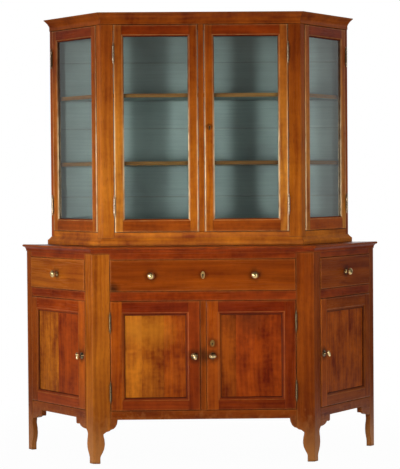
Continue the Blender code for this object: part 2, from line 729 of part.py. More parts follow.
def add_lower_door(name, face, bay, hinged, wood, brass, barrel, pivots=None):
    """A panelled door with its turn knob. Given pivots, it turns on pins, and otherwise on hinges."""
    leaf = opening_leaf(bay, APRON_TOP, RAIL_BOTTOM, hinged)
    sight = sight_of(leaf, LOWER_STILE, LOWER_BOTTOM_RAIL, LOWER_TOP_RAIL)
    mesh, pane = door_frame(leaf, sight, LOWER_MOULDING, PANEL_THICKNESS)
    axis = pivots or hinge_axis(bay, hinged)
    frame = add(f"lower_door_frame_{name}", mesh, wood, face, (*axis, leaf[2]))
    add(f"lower_door_panel_{name}", pane, wood, face, (*axis, leaf[2]))
    free_edge = leaf[1] if hinged == "left" else leaf[0]
    towards_free_edge = 1 if hinged == "left" else -1
    knob = (free_edge - towards_free_edge * TURN_INSET, LEAF_FRONT, leaf[2] + TURN_HEIGHT)
    through = (-2 * DOOR_THICKNESS, DOOR_THICKNESS)
    bore = turned([(SPINDLE_RADIUS + FIT, distance) for distance in through], ROUND_SIDES)
    bmesh.ops.translate(bore, verts=bore.verts, vec=knob)
    combine(frame, bore, "DIFFERENCE")
    add_turn_knob(name, face, knob, brass)
    if pivots:
        tuck = PIVOT_LENGTH + LEAF_GAP
        for end in (leaf[2], leaf[3]):
            combine(frame, upright(*pivots, PIVOT_RADIUS, end - tuck, end + tuck), "UNION")
    else:
        low, high = leaf[2] + LOWER_HINGE_FROM_BOTTOM, leaf[3] - LOWER_HINGE_FROM_TOP
        add_hinges(f"lower_{name}", barrel, face, axis, low, high)


def add_turn_knob(name, face, place, brass):
    """An oval grip on a rosette. Its spindle runs through the stile to a tongue, which stands up at rest."""
    tongue_front = POST_THICKNESS + PROUD + TONGUE_CLEARANCE
    tongue_back = tongue_front + TONGUE_THICKNESS
    profile = [(SPINDLE_RADIUS, -tongue_front - TONGUE_THICKNESS / 2), (SPINDLE_RADIUS, FIT)]
    profile += [(ROSETTE_RADIUS, 2 * FIT), (ROSETTE_RADIUS, ROSETTE_THICKNESS / 2)]
    profile += [(ROSETTE_STEP_RADIUS, ROSETTE_THICKNESS), (COLLAR_RADIUS, COLLAR_DISTANCE)]
    profile += [(SPINDLE_RADIUS, GRIP_DISTANCE / 2), (COLLAR_RADIUS, GRIP_DISTANCE)]
    knob = add(f"turn_knob_{name}", turned(profile, ROUND_SIDES), brass, face, smooth=True)
    knob.location = place

    half = TONGUE_WIDTH / 2
    reach = TURN_INSET + LEAF_GAP + TONGUE_CATCH
    outline = [(-half, -TONGUE_TAIL), (half, -TONGUE_TAIL), (half, reach), (-half, reach)]
    tongue = extruded(outline, tongue_front, tongue_back)
    tongue.transform(Matrix.Translation(place))
    combine(knob, tongue, "UNION")

    angles = [math.pi * i / (2 * ARC_STEPS) for i in range(1, 2 * ARC_STEPS)]
    oval = [(GRIP_HALF_WIDTH * math.sin(angle), -GRIP_HALF_LENGTH * math.cos(angle)) for angle in angles]
    grip = turned(oval, GRIP_SIDES, "Z")
    tilt = Matrix.Rotation(math.radians(GRIP_TILT[name]), 4, "Y")
    out = Matrix.Translation((0, -GRIP_DISTANCE, 0))
    grip.transform(Matrix.Translation(place) @ out @ tilt)
    combine(knob, grip, "UNION")


def hinge_mesh(brass):
    """A slim barrel with drawn-out tips, and the leaf that lies in the gap beside the post."""
    half = HINGE_LENGTH / 2
    profile = [(HINGE_TIP_RADIUS, -half), (HINGE_SHOULDER_RADIUS, -half + HINGE_TIP / 2)]
    profile += [(HINGE_RADIUS, -half + HINGE_TIP), (HINGE_RADIUS, half - HINGE_TIP)]
    profile += [(HINGE_SHOULDER_RADIUS, half - HINGE_TIP / 2), (HINGE_TIP_RADIUS, half)]
    hinge = add("hinge_pattern", turned(profile, HINGE_SIDES, "Z"), brass)
    flat = HINGE_LEAF_THICKNESS / 2
    leaf = [(-flat, 0), (flat, 0), (flat, HINGE_LEAF_REACH), (-flat, HINGE_LEAF_REACH)]
    combine(hinge, prism(leaf, -HINGE_LEAF_HEIGHT / 2, HINGE_LEAF_HEIGHT / 2), "UNION")
    return settled(hinge)


def knob_mesh(brass):
    """A turned mushroom knob: a seat, a drawn-in neck and a domed head."""
    profile = [(KNOB_SEAT_RADIUS, 0), (KNOB_SEAT_RADIUS, KNOB_SEAT_THICKNESS)]
    profile += [(KNOB_NECK_RADIUS, KNOB_NECK_START), (KNOB_NECK_RADIUS, KNOB_NECK_END)]
    profile += [(KNOB_BROW_RADIUS, KNOB_HEAD_START)]
    for i in range(ARC_STEPS):
        angle = math.pi / 2 * i / ARC_STEPS
        rise = (KNOB_LENGTH - KNOB_WIDEST_AT) * math.sin(angle)
        profile.append((KNOB_RADIUS * math.cos(angle), KNOB_WIDEST_AT + rise))
    profile.append((KNOB_TIP_RADIUS, KNOB_LENGTH))
    knob = add("knob_pattern", turned(profile, ROUND_SIDES), brass, smooth=True)
    return settled(knob)


def add_drawer(name, face, bay, box_outline, knob_places, wood, brass_knob):
    """A front with a box behind it: the box's outline is drawn in the face's own x and y."""
    leaf = (bay[0] + LEAF_GAP, bay[1] - LEAF_GAP, RAIL_TOP + LEAF_GAP, TOP_RAIL_BOTTOM - LEAF_GAP)
    front = loft([rectangle(leaf, 0, LEAF_BACK), *rounded_edge(leaf)])
    drawer = add(f"drawer_{name}", front, wood, face)
    floor = DECK_TOP + FIT
    rim = RAIL_TOP + DRAWER_BOX_HEIGHT
    combine(drawer, prism(box_outline(0), floor, rim), "UNION")
    combine(drawer, prism(box_outline(DRAWER_SIDE), floor + DRAWER_BOTTOM, TOP_RAIL_BOTTOM), "DIFFERENCE")
    middle = (leaf[2] + leaf[3]) / 2
    for knob, x in knob_places.items():
        add_copy(f"drawer_knob_{knob}", brass_knob, face, (x, LEAF_FRONT - FIT, middle))


def middle_box(inset):
    half = FRONT_BAY - DRAWER_BOX_SETBACK - inset
    front = LEAF_BACK - RAIL_LAP if inset == 0 else LEAF_BACK
    back = BACK_FACE_Y - FACE_Y - DRAWER_BACK_CLEARANCE - inset
    return [(-half, front), (half, front), (half, back), (-half, back)]


def corner_box(side):
    """The wedge that a corner drawer fills, between its front, the guide and the back."""

    def outline(inset):
        setback = DRAWER_BOX_SETBACK + inset
        near, far = span(side, SIDE_BAY[0] + setback, SIDE_BAY[1] - setback)
        front = LEAF_BACK - RAIL_LAP if inset == 0 else LEAF_BACK
        box = [(near, front), (far, front), (far, BASE_DEPTH), (near, BASE_DEPTH)]
        to_face = Matrix.Rotation(-side * CANT_ANGLE, 2)
        corner = Vector((side * BASE.half, BASE.front_y))
        guide = Vector((side * (guide_face() + GUIDE_WIDTH + RUNNING + inset), 0))
        wall = Vector((0, BACK_FACE_Y - DRAWER_BACK_CLEARANCE - inset))
        box = clip(box, to_face @ (guide - corner), to_face @ Vector((side, 0)))
        return clip(box, to_face @ (wall - corner), to_face @ Vector((0, -1)))

    return outline


def main():
    for obj in list(bpy.data.objects):
        bpy.data.objects.remove(obj)

    wood = finish("cherry_wood", (0.30, 0.095, 0.022), 0.35)
    plain = finish("plain_inside_wood", (0.33, 0.17, 0.07), 0.6)
    painted = finish("grey_blue_paint", (0.42, 0.50, 0.55), 0.6)
    brass = finish("aged_brass", (0.62, 0.46, 0.20), 0.3, metallic=1.0)
    glass = finish("clear_glass", (0.9, 0.95, 0.93), 0.03, transmission=1.0)

    base = add_empty("base")
    hutch = add_empty("hutch")
    faces = add_faces("base", BASE, base)
    hutch_faces = add_faces("hutch", HUTCH, hutch)
    bpy.context.view_layer.update()

    add_base_posts(base, wood)
    add_aprons(faces, wood)
    add_base_boards(base, faces, wood, plain)
    add_base_top(base, wood)
    add_plinth(hutch, wood)
    add_hutch_posts(hutch, wood)
    add_cornice(hutch, wood)
    add_hutch_back(hutch, painted)
    add_shelves(hutch, painted)
    add_centre_post("hutch_centre_post", hutch_faces["front"], FLOOR_RAIL_TOP, CORNICE_BOTTOM, wood)

    barrel = hinge_mesh(brass)
    brass_knob = knob_mesh(brass)
    half_knobs = KNOB_SPACING / 2
    knobs = {"middle_left": -half_knobs, "middle_right": half_knobs}
    add_drawer("middle", faces["front"], (-FRONT_BAY, FRONT_BAY), middle_box, knobs, wood, brass_knob)

    half_post = CENTRE_POST_WIDTH / 2
    for name, side in SIDES.items():
        front_bay = span(side, half_post, FRONT_BAY)
        upper_bay = span(side, half_post, HUTCH_FRONT_BAY)
        side_bay = span(side, *SIDE_BAY)
        add_drawer(name, faces[name], side_bay, corner_box(side), {name: sum(side_bay) / 2}, wood, brass_knob)
        add_lower_door(f"{name}_front", faces["front"], front_bay, name, wood, brass, barrel)
        add_lower_door(f"{name}_side", faces[name], side_bay, name, wood, brass, barrel, pivot_place(side))
        add_upper_door(f"{name}_front", hutch_faces["front"], upper_bay, name, wood, glass, barrel)
        hutch_bay = span(side, *HUTCH_SIDE_BAY)
        add_upper_door(f"{name}_side", hutch_faces[name], hutch_bay, name, wood, glass, barrel)


main()
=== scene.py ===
# %% [markdown]
# This lesson dresses a two-part cupboard with canted corners: a hutch with four glazed doors stands on a
# base with three drawers and four panelled doors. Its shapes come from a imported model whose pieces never
# move here, so the work is finish, small brass, light and camera. Blender opens with a cube, a lamp and a
# camera of its own, and they go first, because they would show in the picture.

# %% Load the cupboard
import json
import math

import bmesh
import bpy
from mathutils import Matrix, Vector

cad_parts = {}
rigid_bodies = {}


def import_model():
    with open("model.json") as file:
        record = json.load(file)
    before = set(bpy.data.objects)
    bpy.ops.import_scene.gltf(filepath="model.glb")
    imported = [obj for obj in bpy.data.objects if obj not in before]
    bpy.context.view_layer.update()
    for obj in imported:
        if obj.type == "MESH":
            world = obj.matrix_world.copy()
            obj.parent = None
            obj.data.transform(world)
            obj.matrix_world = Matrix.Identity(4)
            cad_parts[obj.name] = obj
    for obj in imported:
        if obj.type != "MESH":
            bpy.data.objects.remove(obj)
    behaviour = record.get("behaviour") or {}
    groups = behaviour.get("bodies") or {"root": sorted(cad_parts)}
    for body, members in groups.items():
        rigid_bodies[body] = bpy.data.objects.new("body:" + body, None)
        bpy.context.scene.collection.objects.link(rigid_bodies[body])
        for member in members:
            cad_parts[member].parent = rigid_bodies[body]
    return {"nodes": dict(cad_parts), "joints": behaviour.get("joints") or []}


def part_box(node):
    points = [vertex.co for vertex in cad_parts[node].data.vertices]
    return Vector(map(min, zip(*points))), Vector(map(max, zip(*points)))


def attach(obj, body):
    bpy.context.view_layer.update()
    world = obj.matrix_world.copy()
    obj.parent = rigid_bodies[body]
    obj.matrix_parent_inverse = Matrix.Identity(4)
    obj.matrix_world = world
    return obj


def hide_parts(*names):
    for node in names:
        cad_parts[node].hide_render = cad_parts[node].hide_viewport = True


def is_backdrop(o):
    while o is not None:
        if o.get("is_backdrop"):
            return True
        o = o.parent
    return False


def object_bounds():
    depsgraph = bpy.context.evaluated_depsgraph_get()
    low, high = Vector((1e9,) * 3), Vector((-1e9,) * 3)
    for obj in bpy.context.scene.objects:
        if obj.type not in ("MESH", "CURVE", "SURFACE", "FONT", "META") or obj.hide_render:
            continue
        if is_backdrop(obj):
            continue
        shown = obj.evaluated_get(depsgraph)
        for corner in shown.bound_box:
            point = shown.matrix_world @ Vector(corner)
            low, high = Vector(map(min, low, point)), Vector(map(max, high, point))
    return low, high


for leftover in list(bpy.data.objects):
    bpy.data.objects.remove(leftover)

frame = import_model()
nodes = frame["nodes"]
joints = {joint["name"]: joint for joint in frame["joints"]}
cad_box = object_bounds()

# %% [markdown]
# The camera stands where the photographer stood: about 8.6 m in front, a little to the left, at chest
# height, and with a long lens. These values come from fitting the cupboard's corners to the photograph.
# A camera could be aimed with a Track To constraint, but a matrix built from three turns (roll, then
# pitch, then yaw) also gives the slight lean of a hand-set tripod.

# %% Camera
CAMERA_PLACE = Vector((-0.192, -8.622, 1.287))
CAMERA_YAW = -0.0215
CAMERA_PITCH_DOWN = 0.0293
CAMERA_ROLL = 0.0077
FOCAL_PIXELS = 1849.4
PICTURE_HEIGHT_PIXELS = 469
FILM_HEIGHT_MM = 36.0

lens = bpy.data.cameras.new("camera")
lens.sensor_fit = "VERTICAL"
lens.sensor_height = FILM_HEIGHT_MM
lens.lens = FOCAL_PIXELS * FILM_HEIGHT_MM / PICTURE_HEIGHT_PIXELS
camera = bpy.data.objects.new("camera", lens)
bpy.context.scene.collection.objects.link(camera)
aim = Matrix.Rotation(CAMERA_YAW, 4, "Z") @ Matrix.Rotation(math.pi / 2 - CAMERA_PITCH_DOWN, 4, "X")
camera.matrix_world = Matrix.Translation(CAMERA_PLACE) @ aim @ Matrix.Rotation(-CAMERA_ROLL, 4, "Z")
bpy.context.scene.camera = camera
print(f"lens {lens.lens:.1f} mm")

# %% [markdown]
# A finish is worked out point by point: how far a point is from an edge, how dark the grain is there. In
# the shader editor each sum is a Math node, and a long formula wired by hand becomes a tangle. Here a Value
# stands for a number that varies over a surface. Signs such as + and < set the Math nodes out, so that a
# formula reads as it does on paper. A comparison gives 1 where it holds and 0 where it doesn't.

# %% Numbers that vary over a surface
class Value:
    """A number that varies over a surface. Sums with it set out Math nodes."""

    def __init__(self, bench, socket):
        self.bench = bench
        self.socket = socket

    def __rsub__(self, other):
        return self.bench.math("SUBTRACT", other, self)

    def __neg__(self):
        return self * -1.0


def sum_by(operation):
    """What a sign does: it sets out one Math node."""
    return lambda first, second=0.0: first.bench.math(operation, first, second)


SIGNS = {"__add__": "ADD", "__sub__": "SUBTRACT", "__mul__": "MULTIPLY", "__truediv__": "DIVIDE",
         "__gt__": "GREATER_THAN", "__lt__": "LESS_THAN", "__abs__": "ABSOLUTE",
         "at_least": "MAXIMUM", "at_most": "MINIMUM"}
for sign, operation in SIGNS.items():
    setattr(Value, sign, sum_by(operation))
print(f"{len(SIGNS)} signs ready")

# %% [markdown]
# The other nodes are set out on a bench, one bench for each finish. add() sets out one node, and what is
# given to a socket may be a plain number, a colour, a Value or the output of another node, which is then
# linked. The few kinds of node that every finish here needs get a short name of their own.

# %% A bench for shader nodes
OCCLUSION_SAMPLES = 6


class Bench:
    """Sets out shader nodes on one tree."""

    def __init__(self, tree):
        self.tree = tree

    def feed(self, socket, given):
        if isinstance(given, Value):
            given = given.socket
        if isinstance(given, bpy.types.NodeSocket):
            self.tree.links.new(given, socket)
        else:
            socket.default_value = given

    def add(self, kind, values=None, **settings):
        node = self.tree.nodes.new("ShaderNode" + kind)
        for name, setting in settings.items():
            setattr(node, name, setting)
        for name, given in (values or {}).items():
            self.feed(node.inputs[name], given)
        return node

    def math(self, operation, first, second=0.0, clamp=False):
        node = self.add("Math", {0: first, 1: second}, operation=operation, use_clamp=clamp)
        return Value(self, node.outputs[0])

    def between(self, value, low, high, new_low=0.0, new_high=1.0):
        """Rescales a value from one range to another, and holds it at the ends."""
        values = {"Value": value, "From Min": low, "From Max": high, "To Min": new_low, "To Max": new_high}
        return Value(self, self.add("MapRange", values, clamp=True).outputs[0])

    def blend(self, share, first, second):
        """The second number where the share is 1, the first where it is 0."""
        return Value(self, self.add("Mix", {0: share, 2: first, 3: second}).outputs[0])

    def mix(self, share, first, second, how="MIX"):
        """The same for two colours."""
        node = self.add("Mix", {0: share, 6: first, 7: second}, data_type="RGBA", blend_type=how)
        return node.outputs[2]

    def choose(self, share, first, second):
        """The same for two places."""
        return self.add("Mix", {0: share, 4: first, 5: second}, data_type="VECTOR").outputs[1]

    def where(self):
        """The place of a point, in the object's own coordinates."""
        return self.add("TexCoord").outputs["Object"]

    def parts(self, place):
        return [Value(self, part) for part in self.add("SeparateXYZ", {0: place}).outputs]

    def point(self, x, y, z):
        return self.add("CombineXYZ", {0: x, 1: y, 2: z}).outputs[0]

    def vector(self, operation, first, second):
        return self.add("VectorMath", {0: first, 1: second}, operation=operation).outputs[0]

    def distance(self, first, second):
        node = self.add("VectorMath", {0: first, 1: second}, operation="DISTANCE")
        return Value(self, node.outputs["Value"])

    def noise(self, place, fineness, detail=2.0, roughness=0.5):
        """Noise with about so many spots to the metre along x, y and z."""
        values = {"Vector": self.vector("MULTIPLY", place, fineness), "Scale": 1.0}
        values.update({"Detail": detail, "Roughness": roughness})
        return Value(self, self.add("TexNoise", values).outputs["Fac"])

    def open_air(self, reach, inside=False):
        """How little there is in the way nearby, or how much wood is behind the surface."""
        node = self.add("AmbientOcclusion", {"Distance": reach}, samples=OCCLUSION_SAMPLES, inside=inside)
        return Value(self, node.outputs["AO"])

    def ray(self, kind):
        return Value(self, self.add("LightPath").outputs[kind])

    def unscattered(self):
        """1 for a ray that no wood, paint or paper has scattered yet."""
        return self.ray("Diffuse Depth") < 0.5


def new_material(name):
    material = bpy.data.materials.new(name)
    material.use_nodes = True
    material.node_tree.nodes.clear()
    return material, Bench(material.node_tree)


def finish_with(bench, shader):
    bench.add("OutputMaterial", {"Surface": shader})


print("bench ready")

# %% [markdown]
# The photograph was taken against plain white. The sky dome shows white to the camera, and also to glass
# and brass where they look past the cupboard, which the Light Path node tells apart. Behind the camera the
# room is dim, so that varnish and panes stay deep. A ray that wood or paint has scattered meets only a soft
# even light: if it saw the white too, the wall would flood the hutch through its panes.

# %% White studio
AMBIENT = 0.41
ROOM_BEHIND_CAMERA = 0.08
MIRRORED_WALL = (0.2, 0.97)
WALL_THROUGH_GLASS = (-0.95, -0.85)
WHITE = (1, 1, 1, 1)

world = bpy.data.worlds.new("white_studio")
world.use_nodes = True
world.node_tree.nodes.clear()
sky = Bench(world.node_tree)
towards_wall = sky.parts(sky.add("TexCoord").outputs["Generated"])[1]
mirrored = sky.between(towards_wall, *MIRRORED_WALL, ROOM_BEHIND_CAMERA, 1.0)
through_glass = sky.between(towards_wall, *WALL_THROUGH_GLASS, ROOM_BEHIND_CAMERA, 1.0)
unscattered = sky.unscattered()
strength = AMBIENT
white_seen = {"Is Transmission Ray": through_glass, "Glossy Depth": mirrored, "Is Camera Ray": 1.0}
for kind, seen in white_seen.items():
    share = sky.math("MULTIPLY", sky.ray(kind), unscattered, clamp=True)
    strength = sky.blend(share, strength, seen)
backdrop = sky.add("Background", {"Color": WHITE, "Strength": strength}).outputs[0]
sky.add("OutputWorld", {"Surface": backdrop})
bpy.context.scene.world = world
bpy.context.scene.view_settings.view_transform = "Standard"
print(f"white studio with an even light of {AMBIENT}")

# %% [markdown]
# The floor is white paper. Where it is seen it glows as white as the dome, and near the cupboard a small
# share of it stays plain paper, so that it keeps a faint shadow.

# %% Paper floor
FLOOR_SIZE = 60.0
FLOOR_COLOUR = (0.85, 0.85, 0.85, 1)
GLOW_NEAR_CUPBOARD = 0.975
NEAR_AND_FAR = (0.9, 2.4)
PAPER_FRONT = -1.4
PAPER_HALF_WIDTH = 1.6
PAPER_FADE = 1.2

floor_mesh = bmesh.new()
bmesh.ops.create_grid(floor_mesh, x_segments=1, y_segments=1, size=FLOOR_SIZE / 2)
floor_data = bpy.data.meshes.new("floor")
floor_mesh.to_mesh(floor_data)
floor_mesh.free()
floor = bpy.data.objects.new("floor", floor_data)
bpy.context.scene.collection.objects.link(floor)
floor_finish, bench = new_material("white_floor")
paper = bench.add("BsdfDiffuse", {"Color": FLOOR_COLOUR}).outputs[0]
place = bench.where()
x, y, _ = bench.parts(place)
past_paper = (PAPER_FRONT - y).at_least(abs(x) - PAPER_HALF_WIDTH)
mirrored = bench.between(past_paper, 0.0, PAPER_FADE, 1.0, ROOM_BEHIND_CAMERA)
through_glass = bench.ray("Is Transmission Ray")
in_a_mirror = bench.ray("Is Glossy Ray") * (1.0 - through_glass)
strength = bench.blend(in_a_mirror, 1.0, mirrored)
glow = bench.add("Emission", {"Color": WHITE, "Strength": strength}).outputs[0]
seen = bench.ray("Is Camera Ray").at_least(bench.ray("Is Glossy Ray")).at_least(through_glass)
from_cupboard = bench.distance(place, (0, 0, 0))
glow_share = seen * bench.between(from_cupboard, *NEAR_AND_FAR, GLOW_NEAR_CUPBOARD, 1.0) * bench.unscattered()
finish_with(bench, bench.add("MixShader", {0: glow_share, 1: paper, 2: glow}).outputs[0])
floor_data.materials.append(floor_finish)
floor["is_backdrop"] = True
print(f"floor of {FLOOR_SIZE:.0f} m")

# %% [markdown]
# Three lamps light the cupboard. The key stands far off to the left and low: its light falls in through the
# panes, and the bright bands on the hutch's back are its mark. A lamp further round lights the canted left
# side, and a weak one on the right keeps the far side from going black. A Sun lamp could stand for the far
# key, but it would light the whole floor. A softbox with a grid over it, an area lamp with a narrow spread,
# keeps its light on the cupboard and fades towards the cornice and the feet.

# %% Lamps
def softbox(name, place, aim, size, beam, watts):
    """A square lamp with a grid, which narrows its beam to some degrees."""
    lamp = bpy.data.lights.new(name, "AREA")
    lamp.shape = "SQUARE"
    lamp.size = size
    lamp.spread = math.radians(beam)
    lamp.energy = watts
    obj = bpy.data.objects.new(name, lamp)
    obj.location = place
    obj.rotation_euler = (Vector(aim) - Vector(place)).to_track_quat("-Z", "Y").to_euler()
    bpy.context.scene.collection.objects.link(obj)
    return obj


LAMPS = (softbox("key_through_the_panes", (-5.40, -9.10, 0.85), (-0.15, -0.1, 1.0), 1.5, 12.4, 4.1),
         softbox("side_from_left", (-4.85, -1.80, 1.05), (-0.15, -0.1, 0.98), 1.0, 29, 2.8),
         softbox("fill_from_right", (2.70, -3.90, 1.05), (0.15, -0.1, 0.98), 1.2, 29, 1.6))
print(f"{len(LAMPS)} softboxes")

# %% [markdown]
# Wood grain has to know which way a board lies. The front boards face the room squarely, and the canted
# ones are turned by the angle at which the corner drawers slide out, so that angle is read from the
# drawers' joints. A board's own coordinates then run x across it, y into it and z along its grain.
# A mapping node could be set by eye for each piece. Working it out from the piece's box keeps every board
# centred on its own middle, so that no two show the same stretch of grain.

# %% Which way each board lies
out_of_right_side = Vector(joints["right_drawer_slide"]["axis"])
CANT = math.atan2(out_of_right_side.x, -out_of_right_side.y)
TURNS = {"front": 0.0, "left": -CANT, "right": CANT}
LEVEL = Matrix.Rotation(-math.pi / 2, 3, "Y")


def side_of(node):
    """The face that a piece belongs to, from its name."""
    if "_side" in node or node in ("drawer_left", "drawer_right", "apron_left", "apron_right"):
        return "left" if "left" in node else "right"
    return "front"


def extent(node, turn):
    """A piece's lowest and highest corner, measured along and across its own face."""
    unturn = Matrix.Rotation(-turn, 3, "Z")
    points = [unturn @ vertex.co for vertex in nodes[node].data.vertices]
    low = Vector([min(point[i] for point in points) for i in range(3)])
    high = Vector([max(point[i] for point in points) for i in range(3)])
    return low, high


def face_place(bench, middle, turn, level=False, shift=(0, 0, 0)):
    """Coordinates on a face, from a middle given on that face. Level boards have their grain laid flat."""
    rotation = Matrix.Rotation(-turn, 3, "Z")
    offset = -Vector(middle)
    if level:
        rotation = LEVEL @ rotation
        offset = LEVEL @ offset
    values = {"Vector": bench.where(), "Rotation": rotation.to_euler(), "Location": offset + Vector(shift)}
    return bench.add("Mapping", values, vector_type="POINT").outputs[0]


print(f"canted sides stand at {math.degrees(CANT):.1f} degrees to the front")

# %% [markdown]
# The cupboard is fruitwood, most likely cherry, under old shellac: orange and gold where the light has
# bleached it, red and brown where it has not. One node group grows that wood round a middle tone. Growth
# rings are a wave texture bent by noise, and bands, streaks and fine fibres are noise stretched along the
# grain. Broad patches and a cross-grain shimmer make the figure, and short dark dashes are the pores.
# Darker wood is also redder, so the tone's channels are not scaled alike.

# %% Cherry grain
PITH_OFFSET = (0.035, 0.055, 0.0)
DARKEST = (0.50, 0.30, 0.40)
LIGHTEST = (1.52, 1.78, 1.50)
PORE_COLOUR = (0.03, 0.008, 0.002, 1)
HEART_COLOUR = (0.07, 0.012, 0.002, 1)


def grain_group():
    group = bpy.data.node_groups.new("cherry_grain", "ShaderNodeTree")
    for name, kind in (("Board", "Vector"), ("Tone", "Color"), ("Figure", "Float")):
        group.interface.new_socket(name, in_out="INPUT", socket_type=f"NodeSocket{kind}")
    for name, kind in (("Color", "Color"), ("Roughness", "Float"), ("Height", "Float")):
        group.interface.new_socket(name, in_out="OUTPUT", socket_type=f"NodeSocket{kind}")
    bench = Bench(group)
    given = group.nodes.new("NodeGroupInput").outputs
    board, figure = given["Board"], Value(bench, given["Figure"])

    values = {"Vector": bench.vector("MULTIPLY", board, (3.0, 3.0, 1.6)), "Scale": 1.0, "Detail": 2.0}
    wander = bench.add("TexNoise", values).outputs["Color"]
    wander = bench.vector("SUBTRACT", wander, (0.5, 0.5, 0.5))
    bent = bench.vector("ADD", board, bench.vector("MULTIPLY", wander, (0.06, 0.06, 0.0)))
    in_tree = bench.vector("MULTIPLY", bench.vector("ADD", bent, PITH_OFFSET), (1.0, 1.0, 0.06))
    values = {"Vector": in_tree, "Scale": 17.0, "Distortion": 3.0, "Detail": 2.0}
    rings = bench.add("TexWave", values, wave_type="RINGS", rings_direction="Z").outputs["Fac"]
    rings = Value(bench, rings)
    patches = bench.noise(board, (6, 6, 1.6))
    bands = bench.noise(bent, (18, 18, 1.3))
    streaks = bench.noise(bent, (52, 52, 1.1), 4.0, 0.6)
    flames = bench.noise(bent, (14, 14, 8), 3.0, 0.6)
    curl = bench.noise(bent, (25, 25, 70))
    fibres = bench.noise(board, (420, 420, 9), 2.0, 0.6)
    pores = bench.noise(board, (900, 900, 30), 1.0)

    plainness = bench.between(figure, 0.2, 1.0, 0.9, 0.3)
    light = 0.5
    for layer, weight in ((patches, 0.9), (bands, 0.8), (streaks, plainness), (rings, 0.16), (fibres, 0.22),
                          (flames, figure * 2.0), (curl, figure * 0.5)):
        light = (layer - 0.5) * weight + light
    light = light.at_most(1.0).at_least(0.0)
    colour = bench.mix(light, bench.vector("MULTIPLY", given["Tone"], DARKEST),
                       bench.vector("MULTIPLY", given["Tone"], LIGHTEST))
    pore = bench.between(pores, 0.36, 0.30, 0.0, 0.45)
    heart = bench.between(streaks, 0.34, 0.24, 0.0, 0.45)
    colour = bench.mix(heart, bench.mix(pore, colour, PORE_COLOUR), HEART_COLOUR)
    roughness = bench.between(patches + fibres * 0.5, 0.4, 1.1, 0.20, 0.36)

    leaves = group.nodes.new("NodeGroupOutput").inputs
    for name, value in (("Color", colour), ("Roughness", roughness), ("Height", fibres * 0.4 - pore)):
        bench.feed(leaves[name], value)
    return group


CHERRY_GRAIN = grain_group()


def cherry(bench, board, tone, figure=0.2):
    """Colour, roughness and height of the wood on a board."""
    node = bench.add("Group")
    node.node_tree = CHERRY_GRAIN
    for name, value in {"Board": board, "Tone": tone, "Figure": figure}.items():
        bench.feed(node.inputs[name], value)
    return node.outputs


print("cherry grain grown")

# %% [markdown]
# Long years of hands and dusters finish the wood: dirt settles in corners and beside mouldings, and the
# shellac wears through along the edges. The darkened corners are painted shade as well as dirt, and the pale
# edges are a painted highlight as well as wear. Painting that in by hand would take image textures. The
# ambient occlusion node finds both from the shape itself: corners are where the open air is blocked
# nearby, and edges are where the wood behind the surface is thin. Dirt and bare edges are matte, too.
# A Bevel node rounds the edges a little further in the shading, so that they gleam. Hands leave dark marks
# as well, round each knob and keyhole, so a mark is a ragged round stain about a point.

# %% Old shellac
# The corner darkening below is dirt and painted shade together.
SHADE_AND_DIRT_REACH = 0.020
DIRT_AND_SHADE_COLOUR = (0.030, 0.006, 0.002, 1)
WEAR_AND_HIGHLIGHT_REACH = 0.009
WORN_AND_HIGHLIT_EDGE = (0.92, 0.60)
WEAR_AND_HIGHLIGHT_COLOUR = (0.55, 0.19, 0.035, 1)
BARE_ROUGHNESS = 0.65
EDGE_ROUND = 0.006
PORE_DEPTH = 0.0004
MARK_CORE = 0.012


def hand_marks(bench, colour, marks):
    """Stains, from (point, reach, depth) each. One that isn't dirt gives its colour as well."""
    place = bench.where()
    ragged = bench.noise(place, (55, 55, 40), 3.0)
    for point, reach, depth, *stain in marks:
        distance = bench.distance(place, point) * (ragged + 0.5)
        share = bench.between(distance, reach, MARK_CORE, 0.0, depth)
        colour = bench.mix(share, colour, stain[0] if stain else DIRT_AND_SHADE_COLOUR)
    return colour


def patchy(bench):
    """A share that comes and goes along an edge."""
    return bench.between(bench.noise(bench.where(), (24, 24, 17)), 0.35, 0.60, 0.45, 1.0)


def old_shellac(bench, wood, roughness, height, marks=(), dirt_and_shade=0.85, wear_and_highlight=0.3, gloss=0.10, edge_wear_and_highlight=WEAR_AND_HIGHLIGHT_COLOUR):
    """The shader over a wood colour, with dirt and painted shade in corners, and wear with a painted highlight
    on edges.
    """
    backed = bench.open_air(WEAR_AND_HIGHLIGHT_REACH, inside=True)
    # wear and painted highlight: paler where little wood lies behind an edge
    edge = bench.between(backed, *WORN_AND_HIGHLIT_EDGE, 0.0, wear_and_highlight) * patchy(bench)
    colour = bench.mix(edge, hand_marks(bench, wood, marks), edge_wear_and_highlight)
    # painted shade and dirt: darker where the open air is blocked nearby
    dirt_and_shade_share = bench.between(bench.open_air(SHADE_AND_DIRT_REACH), 0.80, 0.25, 0.0, dirt_and_shade)
    colour = bench.mix(dirt_and_shade_share, colour, DIRT_AND_SHADE_COLOUR)
    bare = bench.between(backed, *WORN_AND_HIGHLIT_EDGE, 0.0, BARE_ROUGHNESS)
    roughness = dirt_and_shade_share.at_least(bare).at_least(roughness)
    rounded = bench.add("Bevel", {"Radius": EDGE_ROUND}, samples=4).outputs[0]
    values = {"Height": height, "Strength": 0.25, "Distance": PORE_DEPTH, "Normal": rounded}
    bump = bench.add("Bump", values).outputs[0]
    shader = bench.add("BsdfPrincipled", {"Base Color": colour, "Roughness": roughness, "Normal": bump})
    shader.inputs["Specular IOR Level"].default_value = gloss
    finish_with(bench, shader.outputs[0])


print("shellac mixed")
